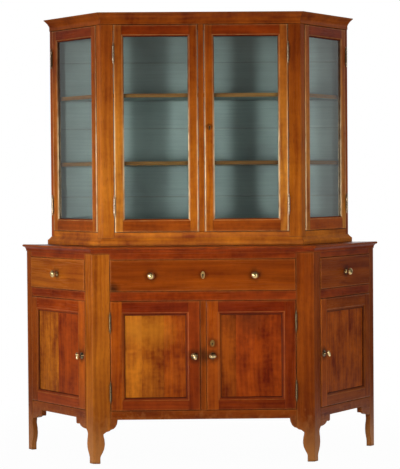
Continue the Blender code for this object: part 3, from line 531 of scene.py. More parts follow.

# %% [markdown]
# The boards differ. The posts and the glazed stiles are the lightest, most rails are redder, and a few
# named tones cover them all. High on the hutch every tone turns darker and redder. The feet are scuffed
# where brooms and shoes have met them, which is a share of dust that grows towards the floor. An image
# could be painted for each board, but tones and heights are easier to mend.

# %% Tones of the boards
TONES = {
    "pale": (0.51, 0.165, 0.018, 1),
    "wheat": (0.47, 0.128, 0.010, 1),
    "honey": (0.42, 0.105, 0.006, 1),
    "gold": (0.37, 0.088, 0.005, 1),
    "straw": (0.36, 0.087, 0.005, 1),
    "amber": (0.34, 0.059, 0.003, 1),
    "orange": (0.25, 0.043, 0.002, 1),
    "copper": (0.28, 0.037, 0.002, 1),
    "russet": (0.22, 0.027, 0.002, 1),
    "umber": (0.17, 0.017, 0.002, 1),
}
DUST_COLOUR = (0.74, 0.300, 0.080, 1)
DUST_TOP = 0.22
DUST_SHARE = 0.7
REDDENING_HEIGHTS = (1.35, 1.90)
DARKER_REDDER_HIGH_UP = (0.80, 0.55, 0.45, 1)


def paint(node, material):
    nodes[node].material_slots[0].material = material


def dusty_feet(bench, colour):
    place = bench.where()
    scuffs = bench.noise(place, (45, 45, 30), 3.0, 0.6)
    height = bench.parts(place)[2] * (scuffs + 0.5)
    return bench.mix(bench.between(height, DUST_TOP, 0.0, 0.0, DUST_SHARE), colour, DUST_COLOUR)


def redder_above(bench, tone):
    height = bench.parts(bench.where())[2]
    # every tone darker and redder high up
    return bench.mix(bench.between(height, *REDDENING_HEIGHTS), tone, DARKER_REDDER_HIGH_UP, "MULTIPLY")


print(f"{len(TONES)} tones")

# %% [markdown]
# A wide board is glued up from narrower ones, and grain and tone change at a straight line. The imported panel
# is one piece, so its finish lists where each board starts, and past that line it moves on to another stretch
# of the tree. Posts and aprons are boards too, with a list of one, so the same function finishes them.

# %% A glued-up board
NEXT_BOARD = Vector((0.31, 0.23, 2.30))
NEXT_POST = 1.3


def glued(bench, place, boards):
    """Grain and tone of boards side by side, from (left edge, tone) each."""
    across = bench.parts(place)[0]
    grain, tone = place, TONES[boards[0][1]]
    for number, (edge, name) in enumerate(boards[1:], 1):
        past = across > edge
        grain = bench.choose(past, grain, bench.vector("ADD", place, NEXT_BOARD * number))
        tone = bench.mix(past, tone, TONES[name])
    return grain, tone


def board(node, boards, tree, level=False, figure=0.4, marks=(), wear_and_highlight=0.3):
    """A post, apron or panel. Its tree says which stretch of wood it was cut from."""
    turn = TURNS[side_of(node)]
    low, high = extent(node, turn)
    material, bench = new_material(f"wood_{node}")
    place = face_place(bench, (low + high) / 2, turn, level, (0, 0, NEXT_POST * tree))
    grain, tone = glued(bench, place, boards)
    colour, roughness, height = cherry(bench, grain, redder_above(bench, tone), figure)
    if node.startswith(("post_", "apron_")):
        colour = dusty_feet(bench, colour)
    old_shellac(bench, colour, roughness, height, marks, wear_and_highlight=wear_and_highlight)
    paint(node, material)


print("glue ready")

# %% [markdown]
# The posts are single boards set upright, and the scalloped aprons between the feet lie level. The left
# front post has bleached nearly to straw, and hands that reach for the turn knobs have left a dark patch on
# the centre post. One loop over a list of names and tones does for all of them what a material for each,
# set up by hand, would do.

# %% Posts and aprons
POST_TONES = {"post_front_left": "straw", "post_front_right": "orange", "post_rear_left": "orange",
              "post_rear_right": "orange", "hutch_post_left": "wheat", "hutch_post_right": "gold",
              "base_centre_post": "orange", "hutch_centre_post": "gold"}
APRONS = ("apron_front", "apron_left", "apron_right")
CENTRE_POST_MARK = (Vector((0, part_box("base_centre_post")[0].y, 0.49)), 0.05, 0.75)
for tree, (node, tone) in enumerate(POST_TONES.items()):
    board(node, [(0, tone)], tree, marks=[CENTRE_POST_MARK] if node == "base_centre_post" else ())
for tree, node in enumerate(APRONS, 10):
    board(node, [(0, "orange")], tree, level=True)
print(f"{len(POST_TONES)} posts and {len(APRONS)} aprons")

# %% [markdown]
# The doors' panels were picked for their figure and glued up from two or three boards. Where the eye falls
# first, on the left front panel, two spots of bright gold stand in the flame, and the right one is dark
# along its top. Such marks could be painted on an image. As stains about a point they cost two nodes each.

# %% Figured panels
PANELS = {"left_front": [(0, "honey"), (-0.062, "gold"), (0.040, "amber")],
          "right_front": [(0, "orange"), (-0.07, "copper")],
          "left_side": [(0, "honey"), (-0.005, "copper")],
          "right_side": [(0, "amber"), (0.04, "amber")]}
BRIGHT_GOLD = (0.62, 0.215, 0.012, 1)


def on_panel(door, across, up):
    """A point on a panel, from shares of its width and height."""
    low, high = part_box(f"lower_door_panel_{door}")
    return Vector((low.x + (high.x - low.x) * across, low.y, low.z + (high.z - low.z) * up))


PANEL_MARKS = {"left_front": [(on_panel("left_front", 0.16, 0.82), 0.09, 0.55, BRIGHT_GOLD),
                              (on_panel("left_front", 0.50, 0.80), 0.11, 0.45, BRIGHT_GOLD)],
               "right_front": [(on_panel("right_front", 0.45, 1.0), 0.14, 0.6)]}
for tree, (door, boards) in enumerate(PANELS.items(), 20):
    board(f"lower_door_panel_{door}", boards, tree, figure=1.0, marks=PANEL_MARKS.get(door, ()), wear_and_highlight=0.0)
print(f"{len(PANELS)} panels")

# %% [markdown]
# A door's frame is two stiles that run its full height and two rails between them. The imported frame is one
# ring, so the finish draws the joints: measured from the panel's middle, a point belongs to a rail when it
# lies further past the opening in height than in width, and within the moulding's width of it sideways.
# That also mitres the moulding at its corners. Grain, tone and a fine dark joint line follow from it, and so
# do the dirt and painted shade in the moulding and its worn arris, whose pale line is also a painted
# highlight. The glazed doors have no handles and are pulled by their edges, which are rubbed to pale lines
# as far up as hands usually reach; those pale lines are also painted highlights.

# %% Wood of a door frame
PANEL_TUCK = 0.0077
JOINT_HALF_WIDTH = 0.0005
JOINT_DARKNESS = 0.8
FRAME_FIGURE = 0.6
NEXT_FRAME = 0.9
ARRIS_HALF_WIDTH = 0.0022
# The two pale colours below are wear and rubbing with painted highlights in them.
PALE_WEAR_AND_HIGHLIGHT = (0.78, 0.40, 0.13, 1)
RUBBED_EDGE_AND_HIGHLIGHT = (0.95, 0.68, 0.38, 1)
RUBBED_HIGHLIGHT_INSET = 0.0020
RUBBED_HIGHLIGHT_WIDTH = 0.0045


def rubbed_and_highlit_edges(bench, outer, past_side, x, z, half_height):
    """How pale the upright edges of a glazed door are, rubbed and with a painted highlight, from where its
    outer edges lie.
    """
    off_edge = abs(past_side - RUBBED_HIGHLIGHT_INSET)
    for edge in (outer[0] + RUBBED_HIGHLIGHT_INSET, outer[1] - RUBBED_HIGHLIGHT_INSET):
        off_edge = off_edge.at_most(abs(x - edge))
    reached_and_highlit = bench.between(z, 0.45 * half_height, -0.10 * half_height, 0.15, 0.85)
    return bench.between(off_edge, RUBBED_HIGHLIGHT_WIDTH, 0.5 * RUBBED_HIGHLIGHT_WIDTH) * reached_and_highlit


def frame_wood(node, filling, moulding, stiles, rails, tree, marks, glazed=False):
    """Stiles and rails, from (left, right) and (bottom, top) tones."""
    edge_wear_and_highlight = PALE_WEAR_AND_HIGHLIGHT if glazed else WEAR_AND_HIGHLIGHT_COLOUR
    turn = TURNS[side_of(node)]
    low, high = extent(filling, turn)
    middle = (low + high) / 2
    half = (high - low) / 2 - Vector((PANEL_TUCK, 0, PANEL_TUCK))
    material, bench = new_material(f"wood_{node}")
    x, y, z = bench.parts(face_place(bench, middle, turn))
    on_right, on_top = x > 0.0, z > 0.0
    past_side, past_end = abs(x) - half.x, abs(z) - half.z
    rail = (past_end > past_side) * (past_side < moulding)

    upright = bench.point(x, y + on_right * 0.4, z)
    flat = bench.point(-z, y + on_top, x)
    grain = bench.vector("ADD", bench.choose(rail, upright, flat), (0, 0, NEXT_FRAME * tree))
    stile_tone = bench.mix(on_right, TONES[stiles[0]], TONES[stiles[1]])
    rail_tone = bench.mix(on_top, TONES[rails[0]], TONES[rails[1]])
    tone = redder_above(bench, bench.mix(rail, stile_tone, rail_tone))
    colour, roughness, height = cherry(bench, grain, tone, FRAME_FIGURE)

    joint = (abs(past_side - moulding) < JOINT_HALF_WIDTH) * (past_end > moulding)
    colour = bench.mix(joint * JOINT_DARKNESS, colour, DIRT_AND_SHADE_COLOUR)
    past_opening = past_side.at_least(past_end)
    # painted shade and dirt: darker in the moulding towards the opening
    colour = bench.mix(bench.between(past_opening, 0.8 * moulding, 0.0, 0.0, 0.75), colour, DIRT_AND_SHADE_COLOUR)
    # worn arris with a painted highlight along it
    arris_wear_and_highlight = bench.between(abs(past_opening - moulding), ARRIS_HALF_WIDTH, 0.0, 0.0, 0.65)
    colour = bench.mix(arris_wear_and_highlight * patchy(bench), colour, edge_wear_and_highlight)
    if glazed:
        outer = [corner.x - middle.x for corner in extent(node, turn)]
        # rubbed pale lines with painted highlights on the glazed stiles, low down
        rubbed_and_highlit = rubbed_and_highlit_edges(bench, outer, past_side, x, z, half.z) * (1.0 - rail)
        colour = bench.mix(rubbed_and_highlit * patchy(bench), colour, RUBBED_EDGE_AND_HIGHLIGHT)
    wear_and_highlight = (past_opening > 2 * moulding) * 0.5
    old_shellac(bench, colour, roughness, height, marks, wear_and_highlight=wear_and_highlight, edge_wear_and_highlight=edge_wear_and_highlight)
    paint(node, material)


print("joints, mouldings and rubbed edges ready")

# %% [markdown]
# Eight frames are finished with it. The tones go round the photograph's doors: pale stiles and amber rails
# above, redder ones below. Each latch and each keyhole has its dark ring of finger marks, and a latch's
# place is read from its joint.

# %% Eight door frames
LOWER_MOULDING = 0.013
UPPER_MOULDING = 0.008
LATCH_MARK = (0.040, 0.8)
LOWER_FRAMES = {"left_front": (("amber", "russet"), ("russet", "umber")),
                "right_front": (("amber", "russet"), ("russet", "umber")),
                "left_side": (("orange", "amber"), ("copper", "copper")),
                "right_side": (("amber", "orange"), ("orange", "orange"))}
UPPER_FRAMES = {"left_front": (("pale", "honey"), ("orange", "amber")),
                "right_front": (("honey", "pale"), ("orange", "amber")),
                "left_side": (("honey", "gold"), ("orange", "amber")),
                "right_side": (("pale", "pale"), ("amber", "amber"))}
KEYHOLES = {"middle_drawer": Vector((0.0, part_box("drawer_middle")[0].y, 0.858)),
            "lower_door_right_front": Vector((joints["right_front_latch"]["pos_m"][0],
                                              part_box("lower_door_frame_right_front")[0].y, 0.546)),
            "upper_door_right_front": Vector((0.0385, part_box("upper_door_frame_right_front")[0].y, 1.532))}
KEYHOLE_MARKS = {"middle_drawer": (0.026, 0.5), "lower_door_right_front": (0.030, 0.6),
                 "upper_door_right_front": (0.018, 0.5)}


def keyhole_marks(body):
    return [(KEYHOLES[body], *KEYHOLE_MARKS[body])] if body in KEYHOLES else []


for tree, (door, (stiles, rails)) in enumerate(LOWER_FRAMES.items()):
    marks = [(Vector(joints[f"{door}_latch"]["pos_m"]), *LATCH_MARK)] + keyhole_marks(f"lower_door_{door}")
    node, panel = f"lower_door_frame_{door}", f"lower_door_panel_{door}"
    frame_wood(node, panel, LOWER_MOULDING, stiles, rails, tree, marks)
for tree, (door, (stiles, rails)) in enumerate(UPPER_FRAMES.items(), 5):
    node, pane = f"upper_door_frame_{door}", f"upper_door_glass_{door}"
    frame_wood(node, pane, UPPER_MOULDING, stiles, rails, tree, keyhole_marks(f"upper_door_{door}"), True)
print(f"{len(LOWER_FRAMES) + len(UPPER_FRAMES)} door frames")

# %% [markdown]
# The mouldings, the deck's rails and the top run round three faces and are mitred at the corners. Their
# grain follows each face, so the finish asks which face a point is nearest to. The rear corner of the
# carcass and the angle of the cant give where its front corner is.

# %% Boards that run round the corners
MITRE_HALF_WIDTH = 0.0006
MITRE_DARKNESS = 0.7
RIM = 0.045
CORNER_FIGURE = 0.9
NEXT_CORNER = 3.1


def front_corner(rear_post, front_node):
    """Where the right canted side meets the front."""
    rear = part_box(rear_post)[1]
    front_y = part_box(front_node)[0].y
    return Vector((rear.x - (rear.y - front_y) / math.tan(CANT), front_y))


BASE_CORNER = front_corner("post_rear_right", "apron_front")
HUTCH_CORNER = front_corner("hutch_back", "hutch_centre_post")


def round_the_corner(bench, corner):
    """Level grain for each of three faces, and how near a point is to the mitre."""
    x, y, z = bench.parts(bench.where())
    out, back = abs(x) - corner.x, y - corner.y
    along = out * math.cos(CANT) + back * math.sin(CANT)
    depth = back * math.cos(CANT) - out * math.sin(CANT)
    from_mitre, near_rim = back - depth, depth < RIM
    side_grain = bench.point(-z, depth, along + bench.math("SIGN", x))
    grain = bench.choose((from_mitre > 0.0) * near_rim, bench.point(-z, back, x), side_grain)
    at_mitre = abs(from_mitre) < MITRE_HALF_WIDTH
    return grain, at_mitre * near_rim, (x, y, z, back, depth)


def corner_wood(bench, corner, tone, tree):
    grain, mitre, measures = round_the_corner(bench, corner)
    grain = bench.vector("ADD", grain, (0, 0, NEXT_CORNER * tree))
    colour, roughness, height = cherry(bench, grain, TONES[tone], CORNER_FIGURE)
    colour = bench.mix(mitre * MITRE_DARKNESS, colour, DIRT_AND_SHADE_COLOUR)
    return colour, roughness, height, measures


for tree, (node, corner, tone) in enumerate((("base_top", BASE_CORNER, "russet"),
                                             ("hutch_cornice", HUTCH_CORNER, "amber"),
                                             ("drawer_deck", BASE_CORNER, "russet"))):
    material, bench = new_material(f"wood_{node}")
    colour, roughness, height, _ = corner_wood(bench, corner, tone, tree)
    old_shellac(bench, colour, roughness, height)
    paint(node, material)
print(f"front corners at x = {BASE_CORNER.x:.3f} and {HUTCH_CORNER.x:.3f}")

# %% [markdown]
# Inside, the wood was never polished. Drawer boxes, the base's bottom and the backs are bare boards that
# have gone brown, drier and rougher than the show wood. The same grain group makes them with paler tones
# and almost no gloss, and each strip of a glued-up board is moved to its own stretch of the tree.

# %% Bare boards
BARE_TONE = (0.27, 0.125, 0.055, 1)
BARE_STRIP = 0.16
STRIP_MOVES = (0.5, 0.5, 3.0)
DRY_ROUGHNESS = 0.75


def in_strips(bench, place):
    strip = bench.math("FLOOR", bench.parts(place)[0] / BARE_STRIP)
    chance = bench.add("TexWhiteNoise", {"W": strip}, noise_dimensions="1D").outputs["Color"]
    return bench.vector("ADD", place, bench.vector("MULTIPLY", chance, STRIP_MOVES))


def bare_boards(node, level=False):
    low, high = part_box(node)
    material, bench = new_material(f"bare_{node}")
    place = face_place(bench, (low + high) / 2, 0.0, level)
    colour, _, height = cherry(bench, in_strips(bench, place), BARE_TONE)
    old_shellac(bench, colour, DRY_ROUGHNESS, height, dirt_and_shade=0.5, wear_and_highlight=0.1)
    paint(node, material)


bare_boards("base_back")
bare_boards("base_bottom", level=True)
print("bare back and bottom")

# %% [markdown]
# A drawer is a polished front on a bare box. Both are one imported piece, so the finish changes over at the
# depth where the front ends, which saves cutting the mesh. Fingers have darkened the wood round each knob,
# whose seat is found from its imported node, and a stain spreads in the middle drawer's lower left corner.

# %% Drawers
FRONT_THICKNESS = 0.0205
NEXT_DRAWER = 1.9
KNOB_MARK = (0.036, 0.6)
STAINED_CORNER = Vector((0.010, 0, 0.006))
CORNER_STAIN = (0.045, 0.85)
SEAT_TOLERANCE = 0.0001
DRAWER_TONES = {"middle": "orange", "left": "gold", "right": "orange"}
KNOBS = {"drawer_knob_middle_left": "middle_drawer", "drawer_knob_middle_right": "middle_drawer",
         "drawer_knob_left": "left_drawer", "drawer_knob_right": "right_drawer"}


def seat(node, out):
    """The middle of a turned node's end that lies against the wood."""
    points = [vertex.co for vertex in nodes[node].data.vertices]
    lowest = min(point.dot(out) for point in points)
    ring = [point for point in points if point.dot(out) < lowest + SEAT_TOLERANCE]
    return sum(ring, Vector()) / len(ring)


KNOB_SEATS = {node: seat(node, Vector(joints[f"{body}_slide"]["axis"])) for node, body in KNOBS.items()}


def drawer_wood(node, body, tone, tree):
    turn = TURNS[side_of(node)]
    low, high = extent(node, turn)
    material, bench = new_material(f"wood_{node}")
    middle = (low + high) / 2
    place = face_place(bench, middle, turn, level=True, shift=(0, 0, NEXT_DRAWER * tree))
    behind = bench.parts(place)[1] > low.y + FRONT_THICKNESS - middle.y
    colour, roughness, height = cherry(bench, place, bench.mix(behind, TONES[tone], BARE_TONE))
    roughness = (behind * DRY_ROUGHNESS).at_least(roughness)
    marks = [(KNOB_SEATS[knob], *KNOB_MARK) for knob in KNOBS if KNOBS[knob] == body] + keyhole_marks(body)
    if body == "middle_drawer":
        marks.append((low + STAINED_CORNER, *CORNER_STAIN))
    old_shellac(bench, colour, roughness, height, marks, wear_and_highlight=0.6)
    paint(node, material)


for tree, (side, tone) in enumerate(DRAWER_TONES.items(), 30):
    drawer_wood(f"drawer_{side}", f"{side}_drawer", tone, tree)
print(f"{len(DRAWER_TONES)} drawers")

# %% [markdown]
# The hutch is painted inside in a thin greyish blue, darker low down and lighter towards the top. Brush marks
# run along the boards, the joints between the back boards hold a dark line, and dirt and painted shade gather
# behind the shelves. Paint goes under the same dirt, painted shade, wear and painted highlight as the polished
# wood, so the shellac's function finishes it too, with a rougher surface, and noise that is long one way and
# fine the other gives the strokes.

# %% Paint
PAINT = (0.375, 0.465, 0.440, 1)
PAINT_THIN = (0.270, 0.330, 0.315, 1)
PAINT_CHIP = (0.06, 0.050, 0.035, 1)
DARK_TO_LIGHT_HEIGHTS = (1.05, 1.95)
LOW_BRIGHTNESS = 0.90
HIGH_BRIGHTNESS = 1.40
PAINT_ROUGHNESS = 0.6


def brushed_paint(bench):
    place = bench.where()
    strokes = bench.noise(place, (3, 40, 160), 3.0, 0.6)
    clouds = bench.noise(place, (5, 5, 5), 3.0)
    specks = bench.noise(place, (70, 70, 70), 1.0)
    colour = bench.mix(bench.between(strokes * 0.5 + clouds, 0.5, 1.0), PAINT, PAINT_THIN)
    # darker low down and lighter towards the top
    brightness = bench.between(bench.parts(place)[2], *DARK_TO_LIGHT_HEIGHTS, LOW_BRIGHTNESS, HIGH_BRIGHTNESS)
    colour = bench.vector("MULTIPLY", colour, bench.point(brightness, brightness, brightness))
    return bench.mix(bench.between(specks, 0.80, 0.84), colour, PAINT_CHIP), strokes


def painted(node, choose_wood):
    """Paint, except where choose_wood() returns a share and a wood colour."""
    material, bench = new_material(f"painted_{node}")
    colour, strokes = brushed_paint(bench)
    for share, wood in choose_wood(bench):
        colour = bench.mix(share, colour, wood)
    old_shellac(bench, colour, PAINT_ROUGHNESS, strokes, dirt_and_shade=0.6, wear_and_highlight=0.15, gloss=0.15)
    paint(node, material)


print("paint stirred")

# %% [markdown]
# Four pieces are painted in part. The shelves show their natural front edges, each in its own tone, which
# are found by the direction that a surface faces. The back's outer side is bare, and the stiles at its ends
# are polished where they face out. Materials on separate faces would need the mesh cut there, so one finish
# chooses between paint and wood by position.

# %% Shelves, back and plinth
SHELF_TONES = {"lower": (0.28, 0.130, 0.031, 1), "upper": (0.48, 0.225, 0.060, 1)}
STILE_SKIN = 0.010
BACK_PANEL_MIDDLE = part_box("hutch_back")[1].y - 0.007
PLINTH_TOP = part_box("upper_door_frame_left_front")[0].z - 0.006


def shelf_edge(bench, tone):
    facing = bench.parts(bench.add("TexCoord").outputs["Normal"])[2]
    grain, _, _ = round_the_corner(bench, HUTCH_CORNER)
    return [(abs(facing) < 0.5, cherry(bench, grain, tone)["Color"])]


def back_outside(bench):
    grain, _, (x, y, z, back, depth) = round_the_corner(bench, HUTCH_CORNER)
    bare = cherry(bench, grain, BARE_TONE)["Color"]
    polished = cherry(bench, bench.point(x, y, z), TONES["amber"])["Color"]
    return [(y > BACK_PANEL_MIDDLE, bare), (depth < STILE_SKIN, polished)]


def plinth_outside(bench):
    colour, _, _, (x, y, z, back, depth) = corner_wood(bench, HUTCH_CORNER, "honey", 0.7)
    near_face = back.at_most(depth) < FRONT_THICKNESS
    return [(near_face.at_least(z < PLINTH_TOP), colour)]


for shelf, tone in SHELF_TONES.items():
    painted(f"shelf_{shelf}", lambda bench: shelf_edge(bench, tone))
painted("hutch_back", back_outside)
painted("hutch_plinth", plinth_outside)
print("paint inside the hutch")

# %% [markdown]
# The panes are thin old glass, not quite flat. A Principled shader with full transmission bends light well,
# but it would keep the lamps out of the hutch. Mixing in a transparent shader for shadow rays alone lets
# the light through to the shelves. In a photographer's studio the lamps are moved until none of them glares
# in a pane. Light linking does that here: the lamps leave out the panes, which still mirror the room.

# %% Window glass
GLASS_COLOUR = (0.93, 0.96, 0.95, 1)
GLASS_IOR = 1.45

glass, bench = new_material("old_window_glass")
ripples = bench.noise(bench.where(), (9, 9, 5), 1.0)
waves = bench.add("Bump", {"Height": ripples, "Strength": 0.08, "Distance": 0.004}).outputs[0]
pane = bench.add("BsdfPrincipled", {"Base Color": GLASS_COLOUR, "Normal": waves})
pane.inputs["Roughness"].default_value = 0.0
pane.inputs["IOR"].default_value = GLASS_IOR
pane.inputs["Transmission Weight"].default_value = 1.0
clear = bench.add("BsdfTransparent", {"Color": GLASS_COLOUR}).outputs[0]
in_shadow = bench.ray("Is Shadow Ray")
finish_with(bench, bench.add("MixShader", {0: in_shadow, 1: pane.outputs[0], 2: clear}).outputs[0])
not_lit = bpy.data.collections.new("panes_without_lamp_glare")
for door in UPPER_FRAMES:
    paint(f"upper_door_glass_{door}", glass)
    not_lit.objects.link(nodes[f"upper_door_glass_{door}"])
for member in not_lit.collection_objects:
    member.light_linking.link_state = "EXCLUDE"
for lamp in LAMPS:
    lamp.light_linking.receiver_collection = not_lit
print(f"{len(UPPER_FRAMES)} panes")

# %% [markdown]
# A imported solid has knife-sharp edges and flat facets. On real joinery every edge is eased with a stroke of
# the plane, and it is that narrow rounding that catches the light. The shapes themselves must stay, so
# modifiers do it: a geometry node group welds the facets and shades them smooth, Bevel eases the sharp
# edges, and Weighted Normal keeps the broad faces flat.

# %% Ease the edges
EASE = 0.0009
WELD = 0.00001
SHARP_ANGLE = math.radians(38)
NOT_EASED = ("hinge", "turn_knob", "drawer_knob", "upper_door_glass")


def welding_group():
    group = bpy.data.node_groups.new("weld_and_smooth", "GeometryNodeTree")
    group.interface.new_socket("Geometry", in_out="INPUT", socket_type="NodeSocketGeometry")
    group.interface.new_socket("Geometry", in_out="OUTPUT", socket_type="NodeSocketGeometry")
    flow = group.nodes.new("NodeGroupInput").outputs[0]
    weld = group.nodes.new("GeometryNodeMergeByDistance")
    weld.inputs["Distance"].default_value = WELD
    plain = group.nodes.new("GeometryNodeRemoveAttribute")
    plain.inputs["Name"].default_value = "custom_normal"
    smooth = group.nodes.new("GeometryNodeSetShadeSmooth")
    for step in (weld, plain, smooth):
        group.links.new(flow, step.inputs["Geometry"])
        flow = step.outputs["Geometry"]
    group.links.new(flow, group.nodes.new("NodeGroupOutput").inputs[0])
    return group


WELD_AND_SMOOTH = welding_group()
eased = [node for node in nodes if not node.startswith(NOT_EASED)]
for node in eased:
    modifiers = nodes[node].modifiers
    modifiers.new("weld", "NODES").node_group = WELD_AND_SMOOTH
    bevel = modifiers.new("ease", "BEVEL")
    bevel.width = EASE
    bevel.segments = 2
    bevel.limit_method = "ANGLE"
    bevel.angle_limit = SHARP_ANGLE
    modifiers.new("flat_faces", "WEIGHTED_NORMAL").keep_sharp = True
print(f"{len(eased)} pieces eased")

# %% [markdown]
# Brass that is handled stays bright on its high places and goes brown in the hollows. The colour is mixed
# by ambient occlusion again, and a little noise in the roughness breaks the reflections up. Knobs and grips
# are the brightest, plates are duller. A turn knob's rosette, which nobody touches, has gone brown, and so
# have the lower hinges, while dusters have rubbed the barrels of the upper ones.

# %% Aged brass
BROWN_BRASS = (0.07, 0.045, 0.025, 1)
HOLLOW_REACH = 0.012
ROSETTE_DEPTH = 0.014


def aged_brass(name, bright, dull, smoothest, roughest, brown_up_to=None):
    """Brass that may have gone brown up to some distance from the wood."""
    material, bench = new_material(name)
    place = bench.where()
    stains = bench.noise(place, (140, 140, 140), 3.0)
    colour = bench.mix(bench.between(stains, 0.45, 0.7), bright, dull)
    hollow = bench.between(bench.open_air(HOLLOW_REACH), 0.8, 0.35, 0.0, 0.9)
    colour = bench.mix(hollow, colour, BROWN_BRASS)
    if brown_up_to:
        untouched = bench.between(-bench.parts(place)[1], brown_up_to, brown_up_to / 2, 0.0, 0.85)
        colour = bench.mix(untouched, colour, BROWN_BRASS)
    roughness = bench.between(stains, 0.3, 0.7, smoothest, roughest)
    shader = bench.add("BsdfPrincipled", {"Base Color": colour, "Roughness": roughness})
    shader.inputs["Metallic"].default_value = 1.0
    finish_with(bench, shader.outputs[0])
    return material


HANDLED_BRASS = aged_brass("handled_brass", (0.80, 0.58, 0.26, 1), (0.46, 0.30, 0.11, 1), 0.22, 0.40)
PLATE_BRASS = aged_brass("plate_brass", (0.56, 0.38, 0.14, 1), (0.28, 0.17, 0.05, 1), 0.45, 0.60)
DULL_BRASS = aged_brass("dull_brass", (0.32, 0.19, 0.055, 1), (0.14, 0.075, 0.022, 1), 0.36, 0.54)
GRIP_BRASS = aged_brass("grip_brass", (0.90, 0.68, 0.34, 1), (0.55, 0.37, 0.15, 1), 0.20, 0.36, ROSETTE_DEPTH)
BROWN_HINGE = aged_brass("hinge_brass", (0.20, 0.14, 0.07, 1), (0.07, 0.045, 0.022, 1), 0.30, 0.50)
RUBBED_HINGE = aged_brass("rubbed_hinge_brass", (0.66, 0.50, 0.33, 1), (0.16, 0.10, 0.05, 1), 0.36, 0.52)
print("brass aged")

# %% [markdown]
# Knobs and hinges are turned on a lathe, which spins a profile, and so does bmesh.ops.spin. A Screw modifier
# would do it as well, but the bmesh can be joined to other pieces before it becomes a mesh. A profile's
# corner points are smoothed into a curve first, because polished brass shows every flat.

# %% Turning
TURNING_STEPS = 48
CURVE_STEPS = 4
SEAM = 0.000005


def smoothed(points):
    """A curve through the points of a profile."""
    curve = []
    last = len(points) - 1
    for i in range(last):
        before, here, there, after = (Vector(points[min(max(k, 0), last)]) for k in (i - 1, i, i + 1, i + 2))
        for step in range(CURVE_STEPS):
            t = step / CURVE_STEPS
            pull = (there - before) * t + (2 * before - 5 * here + 4 * there - after) * t ** 2
            pull += (3 * here - before - 3 * there + after) * t ** 3
            point = here + pull / 2
            curve.append((max(point.x, 0.0), point.y))
    return curve + [tuple(points[-1])]


def turned(profile):
    """A round piece from (radius, distance) pairs, standing out along -Y."""
    mesh = bmesh.new()
    points = [mesh.verts.new((radius, -distance, 0)) for radius, distance in profile]
    edges = [mesh.edges.new(pair) for pair in zip(points, points[1:])]
    bmesh.ops.spin(mesh, geom=points + edges, cent=(0, 0, 0), axis=(0, 1, 0), angle=2 * math.pi,
                   steps=TURNING_STEPS, use_duplicate=False)
    bmesh.ops.remove_doubles(mesh, verts=mesh.verts, dist=SEAM)
    bmesh.ops.recalc_face_normals(mesh, faces=mesh.faces)
    return mesh


def into_mesh(name, mesh, material):
    data = bpy.data.meshes.new(name)
    mesh.to_mesh(data)
    mesh.free()
    data.materials.append(material)
    data.shade_smooth()
    data.set_sharp_from_angle(angle=SHARP_ANGLE)
    return data


print(f"lathe with {TURNING_STEPS} steps to a turn")

# %% [markdown]
# A drawer knob is a seat, a drawn-in neck and a domed head with a fine ring. It takes the place of its plain
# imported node, whose seat and direction it keeps, so that it still sits on the wood. All four share one mesh,
# as four knobs from one pattern would.

# %% Drawer knobs
KNOB_PROFILE = ((0.0, 0.0), (0.0092, 0.0), (0.0095, 0.0012), (0.0088, 0.0026), (0.0066, 0.0034),
                (0.0054, 0.0060), (0.0053, 0.0105), (0.0078, 0.0136), (0.0138, 0.0158), (0.0160, 0.0180),
                (0.0164, 0.0205), (0.0156, 0.0245), (0.0128, 0.0285), (0.0080, 0.0315), (0.0030, 0.0328),
                (0.0, 0.0330))


def fit(name, data, place, turn, body, node=None):
    """Sets a piece on a face, on the body that carries it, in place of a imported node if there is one."""
    obj = bpy.data.objects.new(name, data)
    obj.matrix_world = Matrix.Translation(place) @ Matrix.Rotation(turn, 4, "Z")
    bpy.context.scene.collection.objects.link(obj)
    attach(obj, body)
    if node:
        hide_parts(node)


knob_data = into_mesh("drawer_knob", turned(smoothed(KNOB_PROFILE)), HANDLED_BRASS)
for node, body in KNOBS.items():
    out = Vector(joints[f"{body}_slide"]["axis"])
    fit(f"brass_{node}", knob_data, KNOB_SEATS[node], math.atan2(out.x, -out.y), body, node)
print(f"{len(KNOBS)} drawer knobs of {len(knob_data.vertices)} vertices")

# %% [markdown]
# The hinges are slim barrels of five knuckles with drawn-out tips. Only the barrel and the edge of one leaf
# show. The barrel is the same lathe work with a groove between knuckles, stood upright, and the leaf is a
# thin plate in the gap beside the post. The hinge line comes from the door's joint.

# %% Hinges
BARREL_RADIUS = 0.0045
GROOVE_RADIUS = 0.0039
GROOVE_HALF_WIDTH = 0.0004
BARREL_HALF = 0.034
TIP_HALF = 0.050
KNUCKLES = 5
LEAF_REACH = 0.016
LEAF_HALF_THICKNESS = 0.0006
LEAF_HALF_HEIGHT = 0.033


def hinge_profile():
    tip = [(0.0, -TIP_HALF), (0.0014, -TIP_HALF + 0.0006), (0.0021, -0.0475), (0.0018, -0.0455),
           (0.0032, -0.0415), (0.0030, -0.0390), (0.0040, -0.0365), (GROOVE_RADIUS, -BARREL_HALF)]
    barrel = []
    for i in range(1, KNUCKLES):
        z = -BARREL_HALF + 2 * BARREL_HALF * i / KNUCKLES
        barrel += [(BARREL_RADIUS, z - GROOVE_HALF_WIDTH * 2), (GROOVE_RADIUS, z - GROOVE_HALF_WIDTH),
                   (GROOVE_RADIUS, z + GROOVE_HALF_WIDTH), (BARREL_RADIUS, z + GROOVE_HALF_WIDTH * 2)]
    ends = (BARREL_RADIUS, -BARREL_HALF + GROOVE_HALF_WIDTH), (BARREL_RADIUS, BARREL_HALF - GROOVE_HALF_WIDTH)
    top = [(radius, -z) for radius, z in reversed(tip)]
    return [*tip, ends[0], *barrel, ends[1], *top]


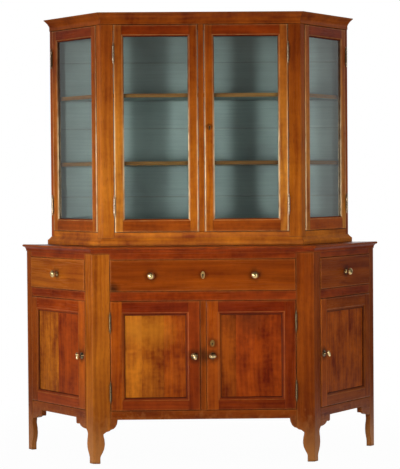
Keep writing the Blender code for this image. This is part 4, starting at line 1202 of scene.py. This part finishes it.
hinge_mesh = turned(hinge_profile())
bmesh.ops.rotate(hinge_mesh, verts=hinge_mesh.verts, matrix=Matrix.Rotation(-math.pi / 2, 3, "X"))
leaf = bmesh.ops.create_cube(hinge_mesh, size=2.0)["verts"]
bmesh.ops.scale(hinge_mesh, verts=leaf, vec=(LEAF_HALF_THICKNESS, LEAF_REACH / 2, LEAF_HALF_HEIGHT))
bmesh.ops.translate(hinge_mesh, verts=leaf, vec=(0, LEAF_REACH / 2, 0))
hinge_data = {"lower": into_mesh("barrel_hinge", hinge_mesh.copy(), BROWN_HINGE),
              "upper": into_mesh("rubbed_barrel_hinge", hinge_mesh, RUBBED_HINGE)}
hinges = [node for node in nodes if node.startswith("hinge_")]
for node in hinges:
    door = node.removeprefix("hinge_").rsplit("_", 1)[0]
    x, y, _ = joints[f"{door}_hinge"]["pos_m"]
    low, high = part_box(node)
    place = Vector((x, y, (low.z + high.z) / 2))
    data = hinge_data[door.split("_")[0]]
    fit(f"brass_{node}", data, place, TURNS[side_of(node)], "carcass", node)
print(f"{len(hinges)} hinges")

# %% [markdown]
# The lower doors close with turn knobs. Behind the stile, each spindle carries a tongue that turns behind the
# post and holds the door shut. It shows only when a door stands open, and a bevelled cube is enough for it.
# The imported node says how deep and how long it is.

# %% Tongues behind the posts
TONGUE_HALF_WIDTH = 0.006
TONGUE_HALF_THICKNESS = 0.0015
TONGUE_EASE = 0.0008
TONGUE_TOLERANCE = 0.0002


def tongue_box(node, place, out):
    """How deep the tongue's back lies, and how far it reaches below and above the spindle."""
    points = [vertex.co - place for vertex in nodes[node].data.vertices]
    deepest = min(point.dot(out) for point in points)
    back = [point.z for point in points if point.dot(out) < deepest + TONGUE_TOLERANCE]
    return deepest, min(back), max(back)


def tongue_mesh(deepest, low, high):
    tongue = bmesh.new()
    bmesh.ops.create_cube(tongue, size=2.0)
    size = (TONGUE_HALF_WIDTH, TONGUE_HALF_THICKNESS, (high - low) / 2)
    bmesh.ops.scale(tongue, verts=tongue.verts, vec=size)
    middle = (0, -deepest - TONGUE_HALF_THICKNESS, (high + low) / 2)
    bmesh.ops.translate(tongue, verts=tongue.verts, vec=middle)
    bmesh.ops.bevel(tongue, geom=tongue.edges, offset=TONGUE_EASE, segments=2, affect="EDGES")
    return tongue


print(f"tongues {2000 * TONGUE_HALF_WIDTH:.0f} mm wide")

# %% [markdown]
# In front, a turn knob is an oval grip on a short baluster and a rosette. Each grip was left at its own
# angle, and those angles are kept. The grip is another turned shape, laid across the spindle and drawn in at
# its middle. The four shapes are joined into one mesh, because they turn together on the latch.

# %% Turn knobs
GRIP_TILT = {"left_front": -27, "right_front": 90, "left_side": 0, "right_side": -30}
ROSETTE_PROFILE = ((0.0, 0.0002), (0.0140, 0.0002), (0.0145, 0.0010), (0.0136, 0.0018), (0.0120, 0.0019),
                   (0.0100, 0.0029), (0.0070, 0.0034), (0.0048, 0.0050), (0.0038, 0.0090), (0.0036, 0.0125),
                   (0.0048, 0.0160), (0.0044, 0.0200), (0.0, 0.0240))
GRIP_PROFILE = ((0.0, -0.0165), (0.0022, -0.0160), (0.0045, -0.0140), (0.0066, -0.0098), (0.0075, -0.0045),
                (0.0070, 0.0), (0.0075, 0.0045), (0.0066, 0.0098), (0.0045, 0.0140), (0.0022, 0.0160),
                (0.0, 0.0165))
GRIP_DISTANCE = 0.0240
SPINDLE_RADIUS = 0.0034
SPINDLE_TOP = 0.0004


def turn_knob_mesh(tilt, deepest, low, high):
    mesh = turned(smoothed(ROSETTE_PROFILE))
    grip = turned(smoothed(GRIP_PROFILE))
    lay = Matrix.Rotation(math.radians(tilt), 4, "Y") @ Matrix.Rotation(-math.pi / 2, 4, "X")
    grip.transform(Matrix.Translation((0, -GRIP_DISTANCE, 0)) @ lay)
    ends = ((0.0, deepest), (SPINDLE_RADIUS, deepest), (SPINDLE_RADIUS, SPINDLE_TOP), (0.0, SPINDLE_TOP))
    for part in (grip, turned(ends), tongue_mesh(deepest, low, high)):
        scrap = bpy.data.meshes.new("scrap")
        part.to_mesh(scrap)
        part.free()
        mesh.from_mesh(scrap)
        bpy.data.meshes.remove(scrap)
    return mesh


for door, tilt in GRIP_TILT.items():
    joint = joints[f"{door}_latch"]
    place, out = Vector(joint["pos_m"]), Vector(joint["axis"])
    node = f"turn_knob_{door}"
    data = into_mesh(node, turn_knob_mesh(tilt, *tongue_box(node, place, out)), GRIP_BRASS)
    turn = math.atan2(out.x, -out.y)
    fit(f"brass_{node}", data, place, turn, f"turn_latch_{door}", node)
print(f"{len(GRIP_TILT)} turn knobs")

# %% [markdown]
# Three locks show as escutcheons: a pointed oval on the middle drawer, a fuller oval on the right-hand
# lower door, and a bare keyhole lined with brass on the glazed door above it. A Boolean could cut the
# keyhole. Here both outlines are drawn as a distance at each angle, so a ring between them needs no cut,
# and a dark face of painted shade behind it stands for the depth of the lock.

# %% Outlines of the escutcheons
OUTLINE_STEPS = 64
KEYHOLE_SIZES = (0.0028, 0.0013, 0.0095)


def keyhole(scale=1.0, grow=0.0):
    """The outline of a keyhole: how far its edge is from its eye, at an angle from straight down."""
    radius, half, drop = (scale * size + grow for size in KEYHOLE_SIZES)

    def edge(angle):
        down, aside = math.cos(angle), abs(math.sin(angle))
        if down <= 0:
            return radius
        slot = drop / down
        if aside > 0:
            slot = min(slot, half / aside)
        return max(radius, slot)

    return edge


def pointed_oval(half_width, half_height, point):
    """An oval outline drawn out to a point below."""

    def edge(angle):
        down, aside = math.cos(angle), math.sin(angle)
        reach = 1 / math.hypot(down / half_height, aside / half_width)
        return reach * (1 + point * max(down, 0) ** 6)

    return edge


def outline_ring(edge, inset, distance):
    angles = [2 * math.pi * i / OUTLINE_STEPS for i in range(OUTLINE_STEPS)]
    reach = [edge(angle) - inset for angle in angles]
    return [(r * math.sin(a), -distance, -r * math.cos(a)) for r, a in zip(reach, angles)]


print(f"outlines of {OUTLINE_STEPS} points")

# %% [markdown]
# A plate is five rings of points, from its outer edge over the eased rim to the hole, with faces between
# them. It rides on its drawer or door. Old plates are duller than the knobs, since nobody polishes them, and
# the hole behind is a dark face of painted shade for the inside of the lock.

# %% Escutcheons
PLATE_THICKNESS = 0.0010
PLATE_EASE = 0.0005
HOLE_OVERLAP = 0.0002
LINING = 0.0010
DARKEST_LOCK_SHADE = (0.004, 0.003, 0.002, 1)
LIGHTEST_LOCK_SHADE = (0.015, 0.010, 0.006, 1)


def escutcheon_mesh(outer, inner):
    rings = [outline_ring(outer, 0, 0), outline_ring(outer, 0, PLATE_THICKNESS - PLATE_EASE),
             outline_ring(outer, PLATE_EASE, PLATE_THICKNESS), outline_ring(inner, 0, PLATE_THICKNESS),
             outline_ring(inner, 0, 0)]
    mesh = bmesh.new()
    loops = [[mesh.verts.new(point) for point in points] for points in rings]
    for low, high in zip(loops, loops[1:] + loops[:1]):
        for i in range(OUTLINE_STEPS):
            j = (i + 1) % OUTLINE_STEPS
            mesh.faces.new((low[i], low[j], high[j], high[i]))
    bmesh.ops.recalc_face_normals(mesh, faces=mesh.faces)
    return mesh


def hole_mesh(inner):
    mesh = bmesh.new()
    mesh.faces.new([mesh.verts.new(point) for point in outline_ring(inner, -HOLE_OVERLAP, HOLE_OVERLAP)])
    bmesh.ops.recalc_face_normals(mesh, faces=mesh.faces)
    return mesh


# the keyhole's back face is painted shade for the depth of the lock
lock_shade_material, bench = new_material("painted_shade_in_lock")
lock_shade_colour = bench.mix(bench.noise(bench.where(), (300, 300, 300)), DARKEST_LOCK_SHADE, LIGHTEST_LOCK_SHADE)
finish_with(bench, bench.add("BsdfPrincipled", {"Base Color": lock_shade_colour, "Roughness": 0.9}).outputs[0])

LOCKS = {"middle_drawer": (pointed_oval(0.0094, 0.0158, 0.15), keyhole(1.45), PLATE_BRASS),
         "lower_door_right_front": (pointed_oval(0.0100, 0.0155, 0.0), keyhole(), DULL_BRASS),
         "upper_door_right_front": (keyhole(1.5, LINING), keyhole(1.5), DULL_BRASS)}
for body, (outer, inner, metal) in LOCKS.items():
    plate = into_mesh(f"escutcheon_{body}", escutcheon_mesh(outer, inner), metal)
    fit(f"escutcheon_{body}", plate, KEYHOLES[body], 0.0, body)
    hole = into_mesh(f"keyhole_{body}", hole_mesh(inner), lock_shade_material)
    fit(f"keyhole_{body}", hole, KEYHOLES[body], 0.0, body)
print(f"{len(LOCKS)} escutcheons")

# %% [markdown]
# Last, the boxes of the dressed cupboard and of the imported one are measured and printed.

# %% Measure and finish
visual_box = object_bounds()
boxes = {"cad": [list(corner) for corner in cad_box], "visual": [list(corner) for corner in visual_box]}
for name, box in boxes.items():
    print(f"{name} box", [tuple(round(length, 4) for length in corner) for corner in box])
